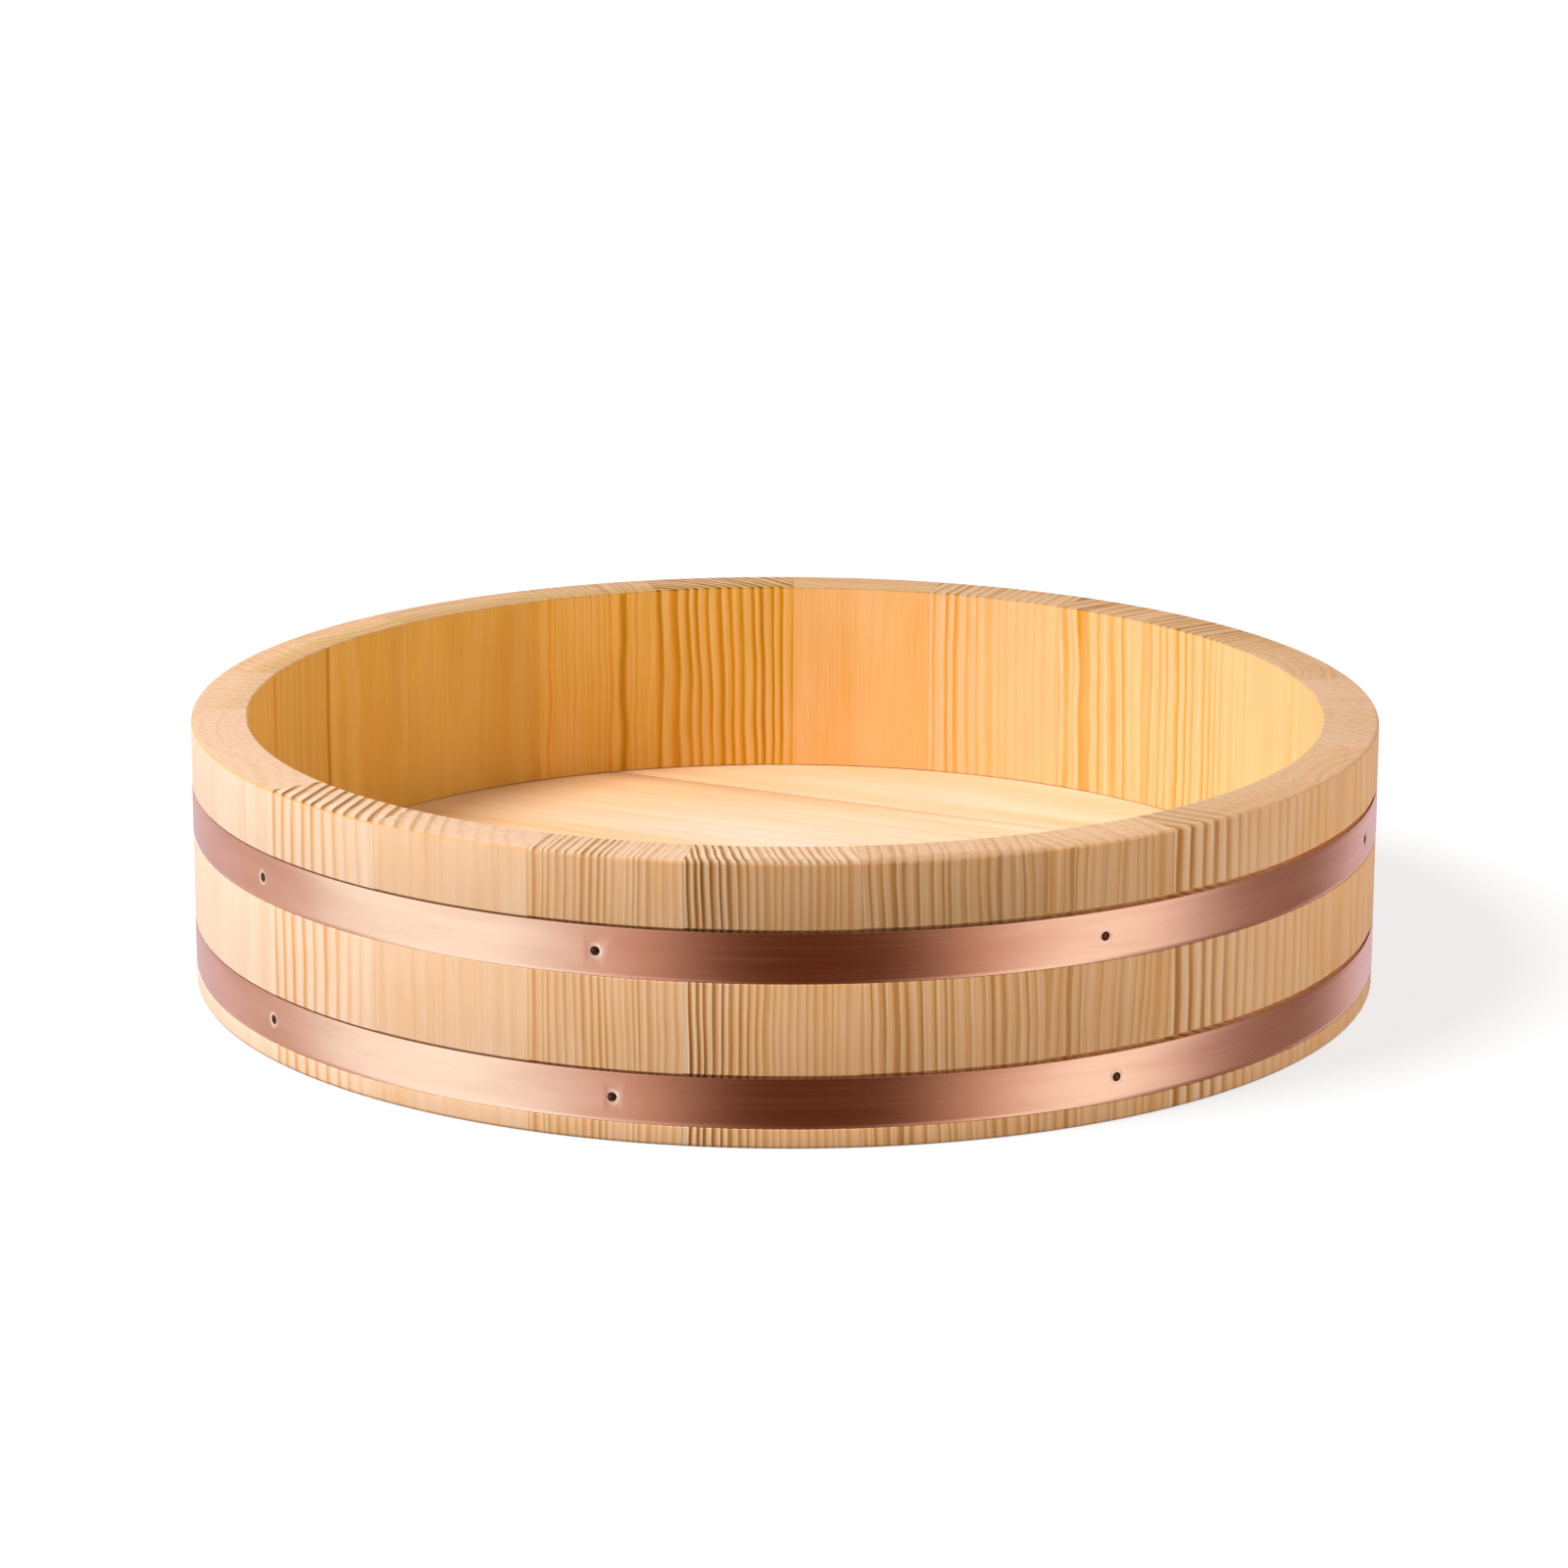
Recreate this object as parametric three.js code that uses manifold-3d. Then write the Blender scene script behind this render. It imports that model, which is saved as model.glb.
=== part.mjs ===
import * as THREE from 'three';
import { mergeVertices } from 'three/addons/utils/BufferGeometryUtils.js';
import Module from 'manifold-3d';

// A coopered rice tub: upright staves glued edge to edge, a floor of pinned boards held in a groove near
// the foot, and two copper hoops nailed into shallow beds round the outside.
// Millimetres, +Z up, origin at the centre of the foot ring. Angles are in degrees round the tub from the
// front (-Y) towards the right (+X).

// Wall of staves
const OUTER_RADIUS = 180;
const WALL_THICKNESS = 16.7;
const HEIGHT = 82;
const EDGE_CHAMFER = 1;
const FIRST_JOINT_ANGLE = -54.4;
// Widths of the staves on the outer face, in order from the first joint; together they close the ring.
const STAVE_WIDTHS = [
  46, 52, 45, 49, 53, 42, 68, 45, 45, 45, 45, 55, 40, 52, 51, 51, 46, 59, 44, 44, 51, 51, 51,
];
const GLUE_LINE = 0.2;

// Floor boards, seated in a groove round the inside of the staves
const FLOOR_RECESS = 9.4;
const FLOOR_THICKNESS = 11;
const GROOVE_DEPTH = 5;
const GROOVE_CLEARANCE = 0.3;
const BOARD_COUNT = 5;
const EDGE_BOARD_WIDTH = 55.6;
const BOARD_DIRECTION = -26.5;

// Bamboo pins across the board joints
const PIN_DIAMETER = 4;
const PIN_LENGTH = 32;
const PIN_CLEARANCE = 0.25;

// Copper hoops, each in a shallow bed turned in the staves, with its ends lapped at the back
const HOOP_WIDTH = 14.3;
const HOOP_THICKNESS = 0.6;
const HOOP_CLEARANCE = 0.3;
const HOOP_BED_DEPTH = 0.8;
const HOOP_BED_MARGIN = 0.6;
const LOWER_HOOP_ABOVE_FOOT = 5.9;
const UPPER_HOOP_BELOW_RIM = 20.2;
const LAP_MIDDLE_ANGLE = 163;
const LAP_LENGTH = 32;
const LAP_GAP = 0.3;
const JOGGLE_LENGTH = 9;

// Hoop nails, sunk in dimples, with a pair through each lap
const LOWER_NAIL_ANGLES = [-55, -15.1, 31, 90, 128, 208, 255];
const UPPER_NAIL_ANGLES = [-56.5, -16.6, 29.5, 72.7, 118, 208, 255];
const LAP_NAIL_SPACING = 16;
const NAIL_HEAD_DIAMETER = 2.4;
const NAIL_HEAD_HEIGHT = 0.7;
const NAIL_SHANK_DIAMETER = 1.4;
const NAIL_POINT_LENGTH = 2.5;
const NAIL_SINK = 0.25;
const NAIL_GROOVE_COVER = 2.5;
const NAIL_CLEARANCE = 0.25;

// Fineness of the round faces
const RING_SEGMENTS = 96;
const PIN_SEGMENTS = 12;
const NAIL_SEGMENTS = 8;

// How far a cutting tool runs past the piece that it cuts
const OVERRUN = 2;

// Sizes that follow from the ones above
const INNER_RADIUS = OUTER_RADIUS - WALL_THICKNESS;
const GROOVE_RADIUS = INNER_RADIUS + GROOVE_DEPTH;
const GROOVE_BOTTOM = FLOOR_RECESS - GROOVE_CLEARANCE / 2;
const GROOVE_TOP = FLOOR_RECESS + FLOOR_THICKNESS + GROOVE_CLEARANCE / 2;
const FLOOR_RADIUS = GROOVE_RADIUS - GROOVE_CLEARANCE;
const FLOOR_MIDDLE = FLOOR_RECESS + FLOOR_THICKNESS / 2;
const HOOP_BED_RADIUS = OUTER_RADIUS - HOOP_BED_DEPTH;
const HOOP_INNER_RADIUS = HOOP_BED_RADIUS + HOOP_CLEARANCE;
const LAP_RISE = HOOP_THICKNESS + LAP_GAP;
const DEGREES_PER_HOOP_MM = 180 / (Math.PI * HOOP_INNER_RADIUS);
const LAP_TURN = LAP_LENGTH * DEGREES_PER_HOOP_MM;
const LAP_START_ANGLE = LAP_MIDDLE_ANGLE - LAP_TURN / 2;
const NAIL_LENGTH = HOOP_INNER_RADIUS + HOOP_THICKNESS - GROOVE_RADIUS - NAIL_GROOVE_COVER;
const HOOPS = [
  { name: 'lower_hoop', bottom: LOWER_HOOP_ABOVE_FOOT, nailAngles: LOWER_NAIL_ANGLES },
  {
    name: 'upper_hoop',
    bottom: HEIGHT - UPPER_HOOP_BELOW_RIM - HOOP_WIDTH,
    nailAngles: UPPER_NAIL_ANGLES,
  },
];

const FINISHES = {
  stave: { color: 0xddb27c, roughness: 0.62, metalness: 0 },
  board: { color: 0xf0d0a4, roughness: 0.6, metalness: 0 },
  bamboo: { color: 0xd9bd7a, roughness: 0.55, metalness: 0 },
  copper: { color: 0xc98a6e, roughness: 0.32, metalness: 1 },
  nail: { color: 0x8a5a3c, roughness: 0.45, metalness: 1 },
};

const wasm = await Module();
wasm.setup();

const tub = new THREE.Group();

function radians(degrees) {
  return THREE.MathUtils.degToRad(degrees);
}

// A point in plan at a radius and an angle round the tub.
function planPoint(radius, degrees) {
  return new THREE.Vector2(radius * Math.sin(radians(degrees)), -radius * Math.cos(radians(degrees)));
}

// Turns a closed three.js geometry into a solid that can be joined and cut.
function solid(geometry) {
  const bare = geometry.clone();
  bare.deleteAttribute('normal');
  bare.deleteAttribute('uv');
  const merged = mergeVertices(bare);
  return new wasm.Manifold(new wasm.Mesh({
    numProp: 3,
    vertProperties: new Float32Array(merged.attributes.position.array),
    triVerts: new Uint32Array(merged.index.array),
  }));
}

// Turns a solid back into a three.js geometry.
function geometryOf(body) {
  const mesh = body.getMesh();
  const geometry = new THREE.BufferGeometry();
  geometry.setAttribute('position', new THREE.BufferAttribute(mesh.vertProperties, 3));
  geometry.setIndex(new THREE.BufferAttribute(mesh.triVerts, 1));
  geometry.computeVertexNormals();
  return geometry;
}

function addPiece(name, body, finish) {
  const piece = new THREE.Mesh(geometryOf(body), new THREE.MeshStandardMaterial(finish));
  piece.name = name;
  tub.add(piece);
}

// Turns a closed outline of radius and height pairs about the tub's axis.
function turned(outline, segments) {
  const points = outline.map(([radius, height]) => new THREE.Vector2(radius, height));
  return new THREE.LatheGeometry(points, segments).rotateX(Math.PI / 2);
}

// Extrudes a plan outline upwards from a height.
function raised(points, bottom, height) {
  const shape = new THREE.Shape(points);
  return new THREE.ExtrudeGeometry(shape, { depth: height, bevelEnabled: false }).translate(0, 0, bottom);
}

// Outline of a hoop's bed in the outer face, from its lower edge to its upper one.
function hoopBed(bottom) {
  const lower = bottom - HOOP_BED_MARGIN;
  const upper = bottom + HOOP_WIDTH + HOOP_BED_MARGIN;
  return [
    [OUTER_RADIUS, lower],
    [HOOP_BED_RADIUS, lower],
    [HOOP_BED_RADIUS, upper],
    [OUTER_RADIUS, upper],
  ];
}

// The whole ring of staves in one turned solid, with eased edges, hoop beds and the floor groove.
function wallRing() {
  const outline = [
    [INNER_RADIUS + EDGE_CHAMFER, 0],
    [OUTER_RADIUS - EDGE_CHAMFER, 0],
    [OUTER_RADIUS, EDGE_CHAMFER],
    ...HOOPS.flatMap((hoop) => hoopBed(hoop.bottom)),
    [OUTER_RADIUS, HEIGHT - EDGE_CHAMFER],
    [OUTER_RADIUS - EDGE_CHAMFER, HEIGHT],
    [INNER_RADIUS + EDGE_CHAMFER, HEIGHT],
    [INNER_RADIUS, HEIGHT - EDGE_CHAMFER],
    [INNER_RADIUS, GROOVE_TOP],
    [GROOVE_RADIUS, GROOVE_TOP],
    [GROOVE_RADIUS, GROOVE_BOTTOM],
    [INNER_RADIUS, GROOVE_BOTTOM],
    [INNER_RADIUS, EDGE_CHAMFER],
  ];
  return solid(turned([...outline, outline[0]], RING_SEGMENTS));
}

// The sector between two joints, drawn in by half a glue line on each side.
function staveSector(startAngle, endAngle) {
  const halfTurn = (endAngle - startAngle) / 2;
  const apex = planPoint(GLUE_LINE / 2 / Math.sin(radians(halfTurn)), startAngle + halfTurn);
  const reach = 2 * OUTER_RADIUS;
  const outline = [
    apex,
    planPoint(reach, startAngle).add(apex),
    planPoint(reach, endAngle).add(apex),
  ];
  return solid(raised(outline, -OVERRUN, HEIGHT + 2 * OVERRUN));
}

// Start and end angles of every stave, in order round the ring.
function staveSpans() {
  const degreesPerWidth = 360 / STAVE_WIDTHS.reduce((sum, width) => sum + width, 0);
  let angle = FIRST_JOINT_ANGLE;
  return STAVE_WIDTHS.map((width) => {
    const start = angle;
    angle += width * degreesPerWidth;
    return { start, end: angle };
  });
}

// Inner radius of the hoop strip, a given turn from its start: it steps out over its own first stretch.
function stripRadius(turn) {
  const joggleTurn = JOGGLE_LENGTH * DEGREES_PER_HOOP_MM;
  const climb = THREE.MathUtils.clamp((turn - 360 + joggleTurn) / joggleTurn, 0, 1);
  return HOOP_INNER_RADIUS + LAP_RISE * climb;
}

function hoopSolid(bottom) {
  const turns = Math.ceil((360 + LAP_TURN) / (360 / RING_SEGMENTS));
  const step = (360 + LAP_TURN) / turns;
  const inside = [];
  const outside = [];
  for (let i = 0; i <= turns; i += 1) {
    const radius = stripRadius(i * step);
    inside.push(planPoint(radius, LAP_START_ANGLE + i * step));
    outside.push(planPoint(radius + HOOP_THICKNESS, LAP_START_ANGLE + i * step));
  }
  return solid(raised([...outside, ...inside.reverse()], bottom, HOOP_WIDTH));
}

// Outline of a nail along its axis, with the top of its head at height 0, grown by a clearance.
function nailOutline(grow) {
  const head = NAIL_HEAD_DIAMETER / 2 + grow;
  const shank = NAIL_SHANK_DIAMETER / 2 + grow;
  return [
    [0, -NAIL_LENGTH - grow],
    [shank, -NAIL_LENGTH + NAIL_POINT_LENGTH],
    [shank, -NAIL_HEAD_HEIGHT - grow],
    [head, 0],
  ];
}

function nailGeometry() {
  return turned([...nailOutline(0), [0, 0]], NAIL_SEGMENTS);
}

// The hole for a nail, open above its head.
function nailHoleGeometry() {
  const mouth = NAIL_HEAD_DIAMETER / 2 + NAIL_CLEARANCE + NAIL_SINK;
  const surface = [[mouth, NAIL_SINK], [mouth, NAIL_SINK + OVERRUN], [0, NAIL_SINK + OVERRUN]];
  return turned([...nailOutline(NAIL_CLEARANCE), ...surface], NAIL_SEGMENTS);
}

// Lays a nail or its hole along the radius at its place in a hoop.
function placedNail(geometry, nail) {
  const outward = planPoint(1, nail.angle);
  const placement = new THREE.Matrix4().makeRotationFromQuaternion(
    new THREE.Quaternion().setFromUnitVectors(
      new THREE.Vector3(0, 0, 1),
      new THREE.Vector3(outward.x, outward.y, 0),
    ),
  );
  const headRadius = nail.hoopFace - NAIL_SINK;
  placement.setPosition(outward.x * headRadius, outward.y * headRadius, nail.height);
  return solid(geometry.applyMatrix4(placement));
}

// Angle, height and hoop face radius of every nail in a hoop.
function nailPlaces(hoop) {
  const height = hoop.bottom + HOOP_WIDTH / 2;
  const face = HOOP_INNER_RADIUS + HOOP_THICKNESS;
  const singles = hoop.nailAngles.map((angle) => ({ angle, height, hoopFace: face }));
  const lapNails = [-0.5, 0.5].map((side) => ({
    angle: LAP_MIDDLE_ANGLE + side * LAP_NAIL_SPACING * DEGREES_PER_HOOP_MM,
    height,
    hoopFace: face + LAP_RISE,
  }));
  return [...singles, ...lapNails];
}

// Offsets of the board joints from the middle of the floor: an edge board on each side, and equal boards
// between them.
function boardJoints() {
  const outermost = FLOOR_RADIUS - EDGE_BOARD_WIDTH;
  const boardWidth = 2 * outermost / (BOARD_COUNT - 2);
  return Array.from({ length: BOARD_COUNT - 1 }, (_, i) => i * boardWidth - outermost);
}

// Places of the pins across one board joint: at the quarter points of its length.
function pinPlaces(offset) {
  const quarter = Math.sqrt(FLOOR_RADIUS ** 2 - offset ** 2) / 2;
  return [-quarter, quarter].map((along) => ({ along, offset }));
}

// A pin or its hole across a joint, in the floor's own directions.
function pinGeometry(place, grow) {
  const radius = PIN_DIAMETER / 2 + grow;
  return new THREE.CylinderGeometry(radius, radius, PIN_LENGTH + 2 * grow, PIN_SEGMENTS)
    .translate(place.along, place.offset, FLOOR_MIDDLE);
}

// Turns geometry from the floor's own directions to the way that its boards run.
function alongBoards(geometry) {
  return solid(geometry.rotateZ(radians(BOARD_DIRECTION)));
}

function addStavesHoopsAndNails() {
  const ring = wallRing();
  const nailHoles = [];
  for (const hoop of HOOPS) {
    let band = hoopSolid(hoop.bottom);
    nailPlaces(hoop).forEach((nail, index) => {
      const hole = placedNail(nailHoleGeometry(), nail);
      nailHoles.push(hole);
      band = band.subtract(hole);
      addPiece(`${hoop.name}_nail_${index + 1}`, placedNail(nailGeometry(), nail), FINISHES.nail);
    });
    addPiece(hoop.name, band, FINISHES.copper);
  }
  staveSpans().forEach((span, index) => {
    let stave = ring.intersect(staveSector(span.start, span.end));
    for (const hole of nailHoles) {
      stave = stave.subtract(hole);
    }
    addPiece(`stave_${String(index + 1).padStart(2, '0')}`, stave, FINISHES.stave);
  });
}

function addFloor() {
  const disc = solid(
    new THREE.CylinderGeometry(FLOOR_RADIUS, FLOOR_RADIUS, FLOOR_THICKNESS, RING_SEGMENTS)
      .rotateX(Math.PI / 2)
      .translate(0, 0, FLOOR_MIDDLE),
  );
  const joints = boardJoints();
  const pins = joints.flatMap(pinPlaces);
  const edges = [-FLOOR_RADIUS - OVERRUN, ...joints, FLOOR_RADIUS + OVERRUN];
  for (let i = 0; i + 1 < edges.length; i += 1) {
    const width = edges[i + 1] - edges[i] - GLUE_LINE;
    const strip = new THREE.BoxGeometry(2 * (FLOOR_RADIUS + OVERRUN), width, FLOOR_THICKNESS + 2 * OVERRUN)
      .translate(0, (edges[i] + edges[i + 1]) / 2, FLOOR_MIDDLE);
    let board = disc.intersect(alongBoards(strip));
    for (const pin of pins) {
      board = board.subtract(alongBoards(pinGeometry(pin, PIN_CLEARANCE)));
    }
    addPiece(`floor_board_${i + 1}`, board, FINISHES.board);
  }
  pins.forEach((pin, index) => {
    addPiece(`floor_pin_${index + 1}`, alongBoards(pinGeometry(pin, 0)), FINISHES.bamboo);
  });
}

addStavesHoopsAndNails();
addFloor();

export default tub;
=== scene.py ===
"""Looks of a coopered rice tub: upright staves, a board floor and two nailed copper hoops."""

import logging
import math
from dataclasses import dataclass, fields
from enum import Enum
from typing import Any, Iterable, Sequence

import bmesh
import bpy
from mathutils import Matrix, Vector


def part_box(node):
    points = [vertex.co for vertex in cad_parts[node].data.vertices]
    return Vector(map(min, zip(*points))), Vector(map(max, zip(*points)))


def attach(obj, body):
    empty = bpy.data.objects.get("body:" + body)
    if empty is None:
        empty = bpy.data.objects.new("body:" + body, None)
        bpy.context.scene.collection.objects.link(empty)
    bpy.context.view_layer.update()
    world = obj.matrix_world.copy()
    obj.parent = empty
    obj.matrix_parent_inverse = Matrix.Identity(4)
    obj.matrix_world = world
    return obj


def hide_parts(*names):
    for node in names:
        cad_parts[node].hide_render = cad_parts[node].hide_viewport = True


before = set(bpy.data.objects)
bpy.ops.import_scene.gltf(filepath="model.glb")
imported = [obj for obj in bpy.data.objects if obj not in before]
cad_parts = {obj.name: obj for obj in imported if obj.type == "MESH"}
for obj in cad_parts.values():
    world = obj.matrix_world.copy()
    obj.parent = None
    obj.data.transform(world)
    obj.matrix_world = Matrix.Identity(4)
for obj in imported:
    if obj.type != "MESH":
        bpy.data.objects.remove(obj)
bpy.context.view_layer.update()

MM = 0.001
FULL_TURN = 2 * math.pi
BODY = "root"
HOOPS = ("lower_hoop", "upper_hoop")
# Points nearer to each other than this are one point.
ONE_POINT = 1e-7
# How far apart two neighbouring pieces lie in their log.
LOG_STEP = 17.0

log = logging.getLogger("rice_tub")

Piece = bpy.types.Object
Material = bpy.types.Material
Socket = bpy.types.NodeSocket
Value = Any
Inputs = dict[str | int, Value]
Colour = tuple[float, ...]
Joins = Sequence[Sequence[int]]


def from_srgb(red: int, green: int, blue: int) -> Colour:
    """Turns a colour as it looks on a screen into the linear colour that a shader takes.

    Args:
        red: Red, from 0 to 255.
        green: Green, from 0 to 255.
        blue: Blue, from 0 to 255.

    Returns:
        The linear colour, with an alpha of 1.
    """
    channels = []
    for level in (red, green, blue):
        share = level / 255
        channels.append(share / 12.92 if share <= 0.04045 else ((share + 0.055) / 1.055) ** 2.4)
    return (*channels, 1.0)


def round_the_tub(radius: float, angle: float, height: float) -> Vector:
    """Gives the point at a radius, an angle from the front towards the right, and a height."""
    return Vector((radius * math.sin(angle), -radius * math.cos(angle), height))


def angle_of(point: Vector) -> float:
    """Gives a point's angle round the tub, from the front towards the right."""
    return math.atan2(point.x, -point.y)


def nodes_like(start: str) -> list[str]:
    """Lists the nodes whose names start in one way, in order."""
    return sorted(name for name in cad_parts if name.startswith(start))


def points_of(node: str) -> list[Vector]:
    """Lists the points of a node."""
    return [vertex.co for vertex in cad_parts[node].data.vertices]


def rounded_outline(corners: Sequence[tuple[float, float, float]], steps: int = 4) -> list[Vector]:
    """Rounds the corners of a closed outline.

    Args:
        corners: Across, up and rounding radius of each corner, in order.
        steps: How many straight steps each rounded corner is made of.

    Returns:
        The points of the outline, in the X and Y of a flat drawing.
    """
    points: list[Vector] = []
    count = len(corners)
    for index, (across, up, radius) in enumerate(corners):
        here = Vector((across, up, 0))
        if radius == 0:
            points.append(here)
            continue
        before = Vector((*corners[index - 1][:2], 0)) - here
        after = Vector((*corners[(index + 1) % count][:2], 0)) - here
        half = before.angle(after) / 2
        reach = radius / math.tan(half)
        middle = (before.normalized() + after.normalized()).normalized()
        centre = here + middle * (radius / math.sin(half))
        start = here + before.normalized() * reach - centre
        end = here + after.normalized() * reach - centre
        turn = start.xy.angle_signed(end.xy)
        for step in range(steps + 1):
            arm = start.copy()
            arm.rotate(Matrix.Rotation(-turn * step / steps, 3, "Z"))
            points.append(centre + arm)
    return points


class Wire:
    """What runs from one node to the next. A number on it can be reckoned with like a plain one."""

    def __init__(self, bench: "NodeBench", socket: Socket) -> None:
        """Takes up a node's output."""
        self.bench = bench
        self.socket = socket

    def __add__(self, other: Value) -> "Wire":
        """Adds a number."""
        return self.bench.math("ADD", self, other)

    def __sub__(self, other: Value) -> "Wire":
        """Takes a number away."""
        return self.bench.math("SUBTRACT", self, other)

    def __rsub__(self, other: Value) -> "Wire":
        """Takes this number away from a plain one."""
        return self.bench.math("SUBTRACT", other, self)

    def __mul__(self, other: Value) -> "Wire":
        """Multiplies by a number."""
        return self.bench.math("MULTIPLY", self, other)

    def __truediv__(self, other: Value) -> "Wire":
        """Divides by a number."""
        return self.bench.math("DIVIDE", self, other)

    def __abs__(self) -> "Wire":
        """Drops the sign."""
        return self.bench.math("ABSOLUTE", self)


class NodeBench:
    """Puts nodes into one tree and joins them up."""

    def __init__(self, tree: bpy.types.NodeTree) -> None:
        """Starts work on a tree."""
        self.tree = tree

    def sockets(self, kind: str, *names: str, output: bool = False) -> None:
        """Adds named sockets to a group.

        Args:
            kind: What they carry, such as Float or Vector.
            names: Their names.
            output: Whether they are outputs of the group.
        """
        side = "OUTPUT" if output else "INPUT"
        for name in names:
            self.tree.interface.new_socket(name=name, in_out=side, socket_type=f"NodeSocket{kind}")

    def given(self) -> dict[str, Wire]:
        """Gives the group's inputs by their names."""
        return {socket.name: Wire(self, socket) for socket in self.node("NodeGroupInput").outputs}

    def node(self, kind: str, inputs: Inputs | None = None, **settings: Value) -> bpy.types.Node:
        """Adds a node.

        Args:
            kind: The node's type.
            inputs: What goes into its sockets, by name or number: wires, outputs or plain values.
            settings: The node's own settings.

        Returns:
            The node.
        """
        node = self.tree.nodes.new(kind)
        for name, setting in settings.items():
            setattr(node, name, setting)
        for key, value in (inputs or {}).items():
            self.feed(node.inputs[key], value)
        return node

    def feed(self, target: Socket, value: Value) -> None:
        """Joins a wire to a node's input, or sets the input to a plain value.

        Args:
            target: The input.
            value: The wire, the output or the plain value.
        """
        if isinstance(value, Wire):
            value = value.socket
        if isinstance(value, Socket):
            self.tree.links.new(value, target)
        else:
            target.default_value = value

    def math(self, operation: str, first: Value, second: Value = 0.0, clamp: bool = False) -> Wire:
        """Adds a sum on one or two numbers and gives its result."""
        node = self.node("ShaderNodeMath", {0: first, 1: second}, operation=operation, use_clamp=clamp)
        return Wire(self, node.outputs[0])

    def vector(self, operation: str, first: Value, second: Value) -> Wire:
        """Adds a sum on two vectors and gives the vector that results."""
        node = self.node("ShaderNodeVectorMath", {0: first, 1: second}, operation=operation)
        return Wire(self, node.outputs["Vector"])

    def split(self, vector: Value) -> list[Wire]:
        """Takes a vector apart into X, Y and Z."""
        return [Wire(self, part) for part in self.node("ShaderNodeSeparateXYZ", {0: vector}).outputs]

    def join(self, x: Value, y: Value, z: Value) -> Wire:
        """Makes a vector of X, Y and Z."""
        return Wire(self, self.node("ShaderNodeCombineXYZ", {0: x, 1: y, 2: z}).outputs[0])

    def ramp(self, value: Value, low: Value, high: Value, start: Value = 0.0, end: Value = 1.0) -> Wire:
        """Adds a smooth step from one value to another.

        Args:
            value: What is measured.
            low: Where the step starts.
            high: Where the step ends.
            start: The result below the step.
            end: The result above it.

        Returns:
            The result.
        """
        node = self.node(
            "ShaderNodeMapRange",
            {"Value": value, "From Min": low, "From Max": high, "To Min": start, "To Max": end},
            interpolation_type="SMOOTHSTEP",
        )
        return Wire(self, node.outputs["Result"])

    def pulse(self, value: Value, start: Value, full: Value, off: Value, end: Value) -> Wire:
        """Adds a smooth rise from start to full, and a smooth fall from off to end."""
        return self.ramp(value, start, full) * self.ramp(value, off, end, 1.0, 0.0)

    def noise(
        self, place: Value, stretch: Value, detail: float = 2.0, shift: Value = (0.0, 0.0, 0.0)
    ) -> Wire:
        """Adds a noise.

        Args:
            place: Where it is read.
            stretch: How fast it changes along X, Y and Z.
            detail: How much fine detail it has.
            shift: How far it is moved.

        Returns:
            Its level, which is about a half on average.
        """
        spot = self.vector("ADD", self.vector("MULTIPLY", place, stretch), shift)
        node = self.node("ShaderNodeTexNoise", {"Vector": spot, "Scale": 1.0, "Detail": detail})
        return Wire(self, node.outputs[0])

    def blend(self, share: Value, first: Value, second: Value, how: str = "MIX") -> Wire:
        """Adds a mix of two colours.

        Args:
            share: How much of the second one there is.
            first: The first colour.
            second: The second colour.
            how: How they mix.

        Returns:
            The colour that results.
        """
        inputs = {0: share, 6: first, 7: second}
        node = self.node("ShaderNodeMix", inputs, data_type="RGBA", blend_type=how, clamp_factor=True)
        return Wire(self, node.outputs[2])

    def placed(
        self, turn: Sequence[float], move: Sequence[float] = (0.0, 0.0, 0.0), scale: float = 1.0
    ) -> Wire:
        """Gives each spot's place on its object, scaled, turned and then moved.

        Args:
            turn: The turn about X, Y and Z.
            move: The move along X, Y and Z.
            scale: The scale.

        Returns:
            The place.
        """
        spot = self.node("ShaderNodeTexCoord").outputs["Object"]
        inputs = {"Vector": spot, "Location": move, "Rotation": turn, "Scale": (scale,) * 3}
        return Wire(self, self.node("ShaderNodeMapping", inputs).outputs[0])

    def bump(self, height: Value, strength: float, distance: float) -> Wire:
        """Adds small bumps and gives the normal that results."""
        node = self.node("ShaderNodeBump", {"Height": height, "Strength": strength, "Distance": distance})
        return Wire(self, node.outputs[0])

    def surface(self, inputs: Inputs) -> None:
        """Ends a material in a surface with these inputs."""
        shader = self.node("ShaderNodeBsdfPrincipled", inputs)
        self.node("ShaderNodeOutputMaterial", {"Surface": shader.outputs[0]})

    def body(self, name: str, geometry: Value, material: Value) -> None:
        """Ends a tree of shapes in a plain body.

        Args:
            name: Name of the tree's output.
            geometry: The shapes.
            material: What they are made of.
        """
        plain = self.node("GeometryNodeRealizeInstances", {"Geometry": geometry})
        dressed = self.node("GeometryNodeSetMaterial", {"Geometry": plain.outputs[0], "Material": material})
        self.node("NodeGroupOutput", {name: dressed.outputs[0]})


def new_material(name: str) -> tuple[Material, NodeBench]:
    """Starts a material.

    Args:
        name: Its name.

    Returns:
        The material, and a bench for its nodes.
    """
    material = bpy.data.materials.new(name)
    material.use_nodes = True
    material.node_tree.nodes.clear()
    return material, NodeBench(material.node_tree)


def numbers_of(*sheets: Any) -> dict[str, float]:
    """Lists the plain numbers of some dataclasses, each under the name of a group's input.

    Args:
        sheets: The dataclasses.

    Returns:
        The numbers. One that is called bold_at there goes to the input Bold At.
    """
    numbers = {}
    for sheet in sheets:
        for entry in fields(sheet):
            value = getattr(sheet, entry.name)
            if isinstance(value, (int, float)):
                numbers[entry.name.replace("_", " ").title()] = float(value)
    return numbers


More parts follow.
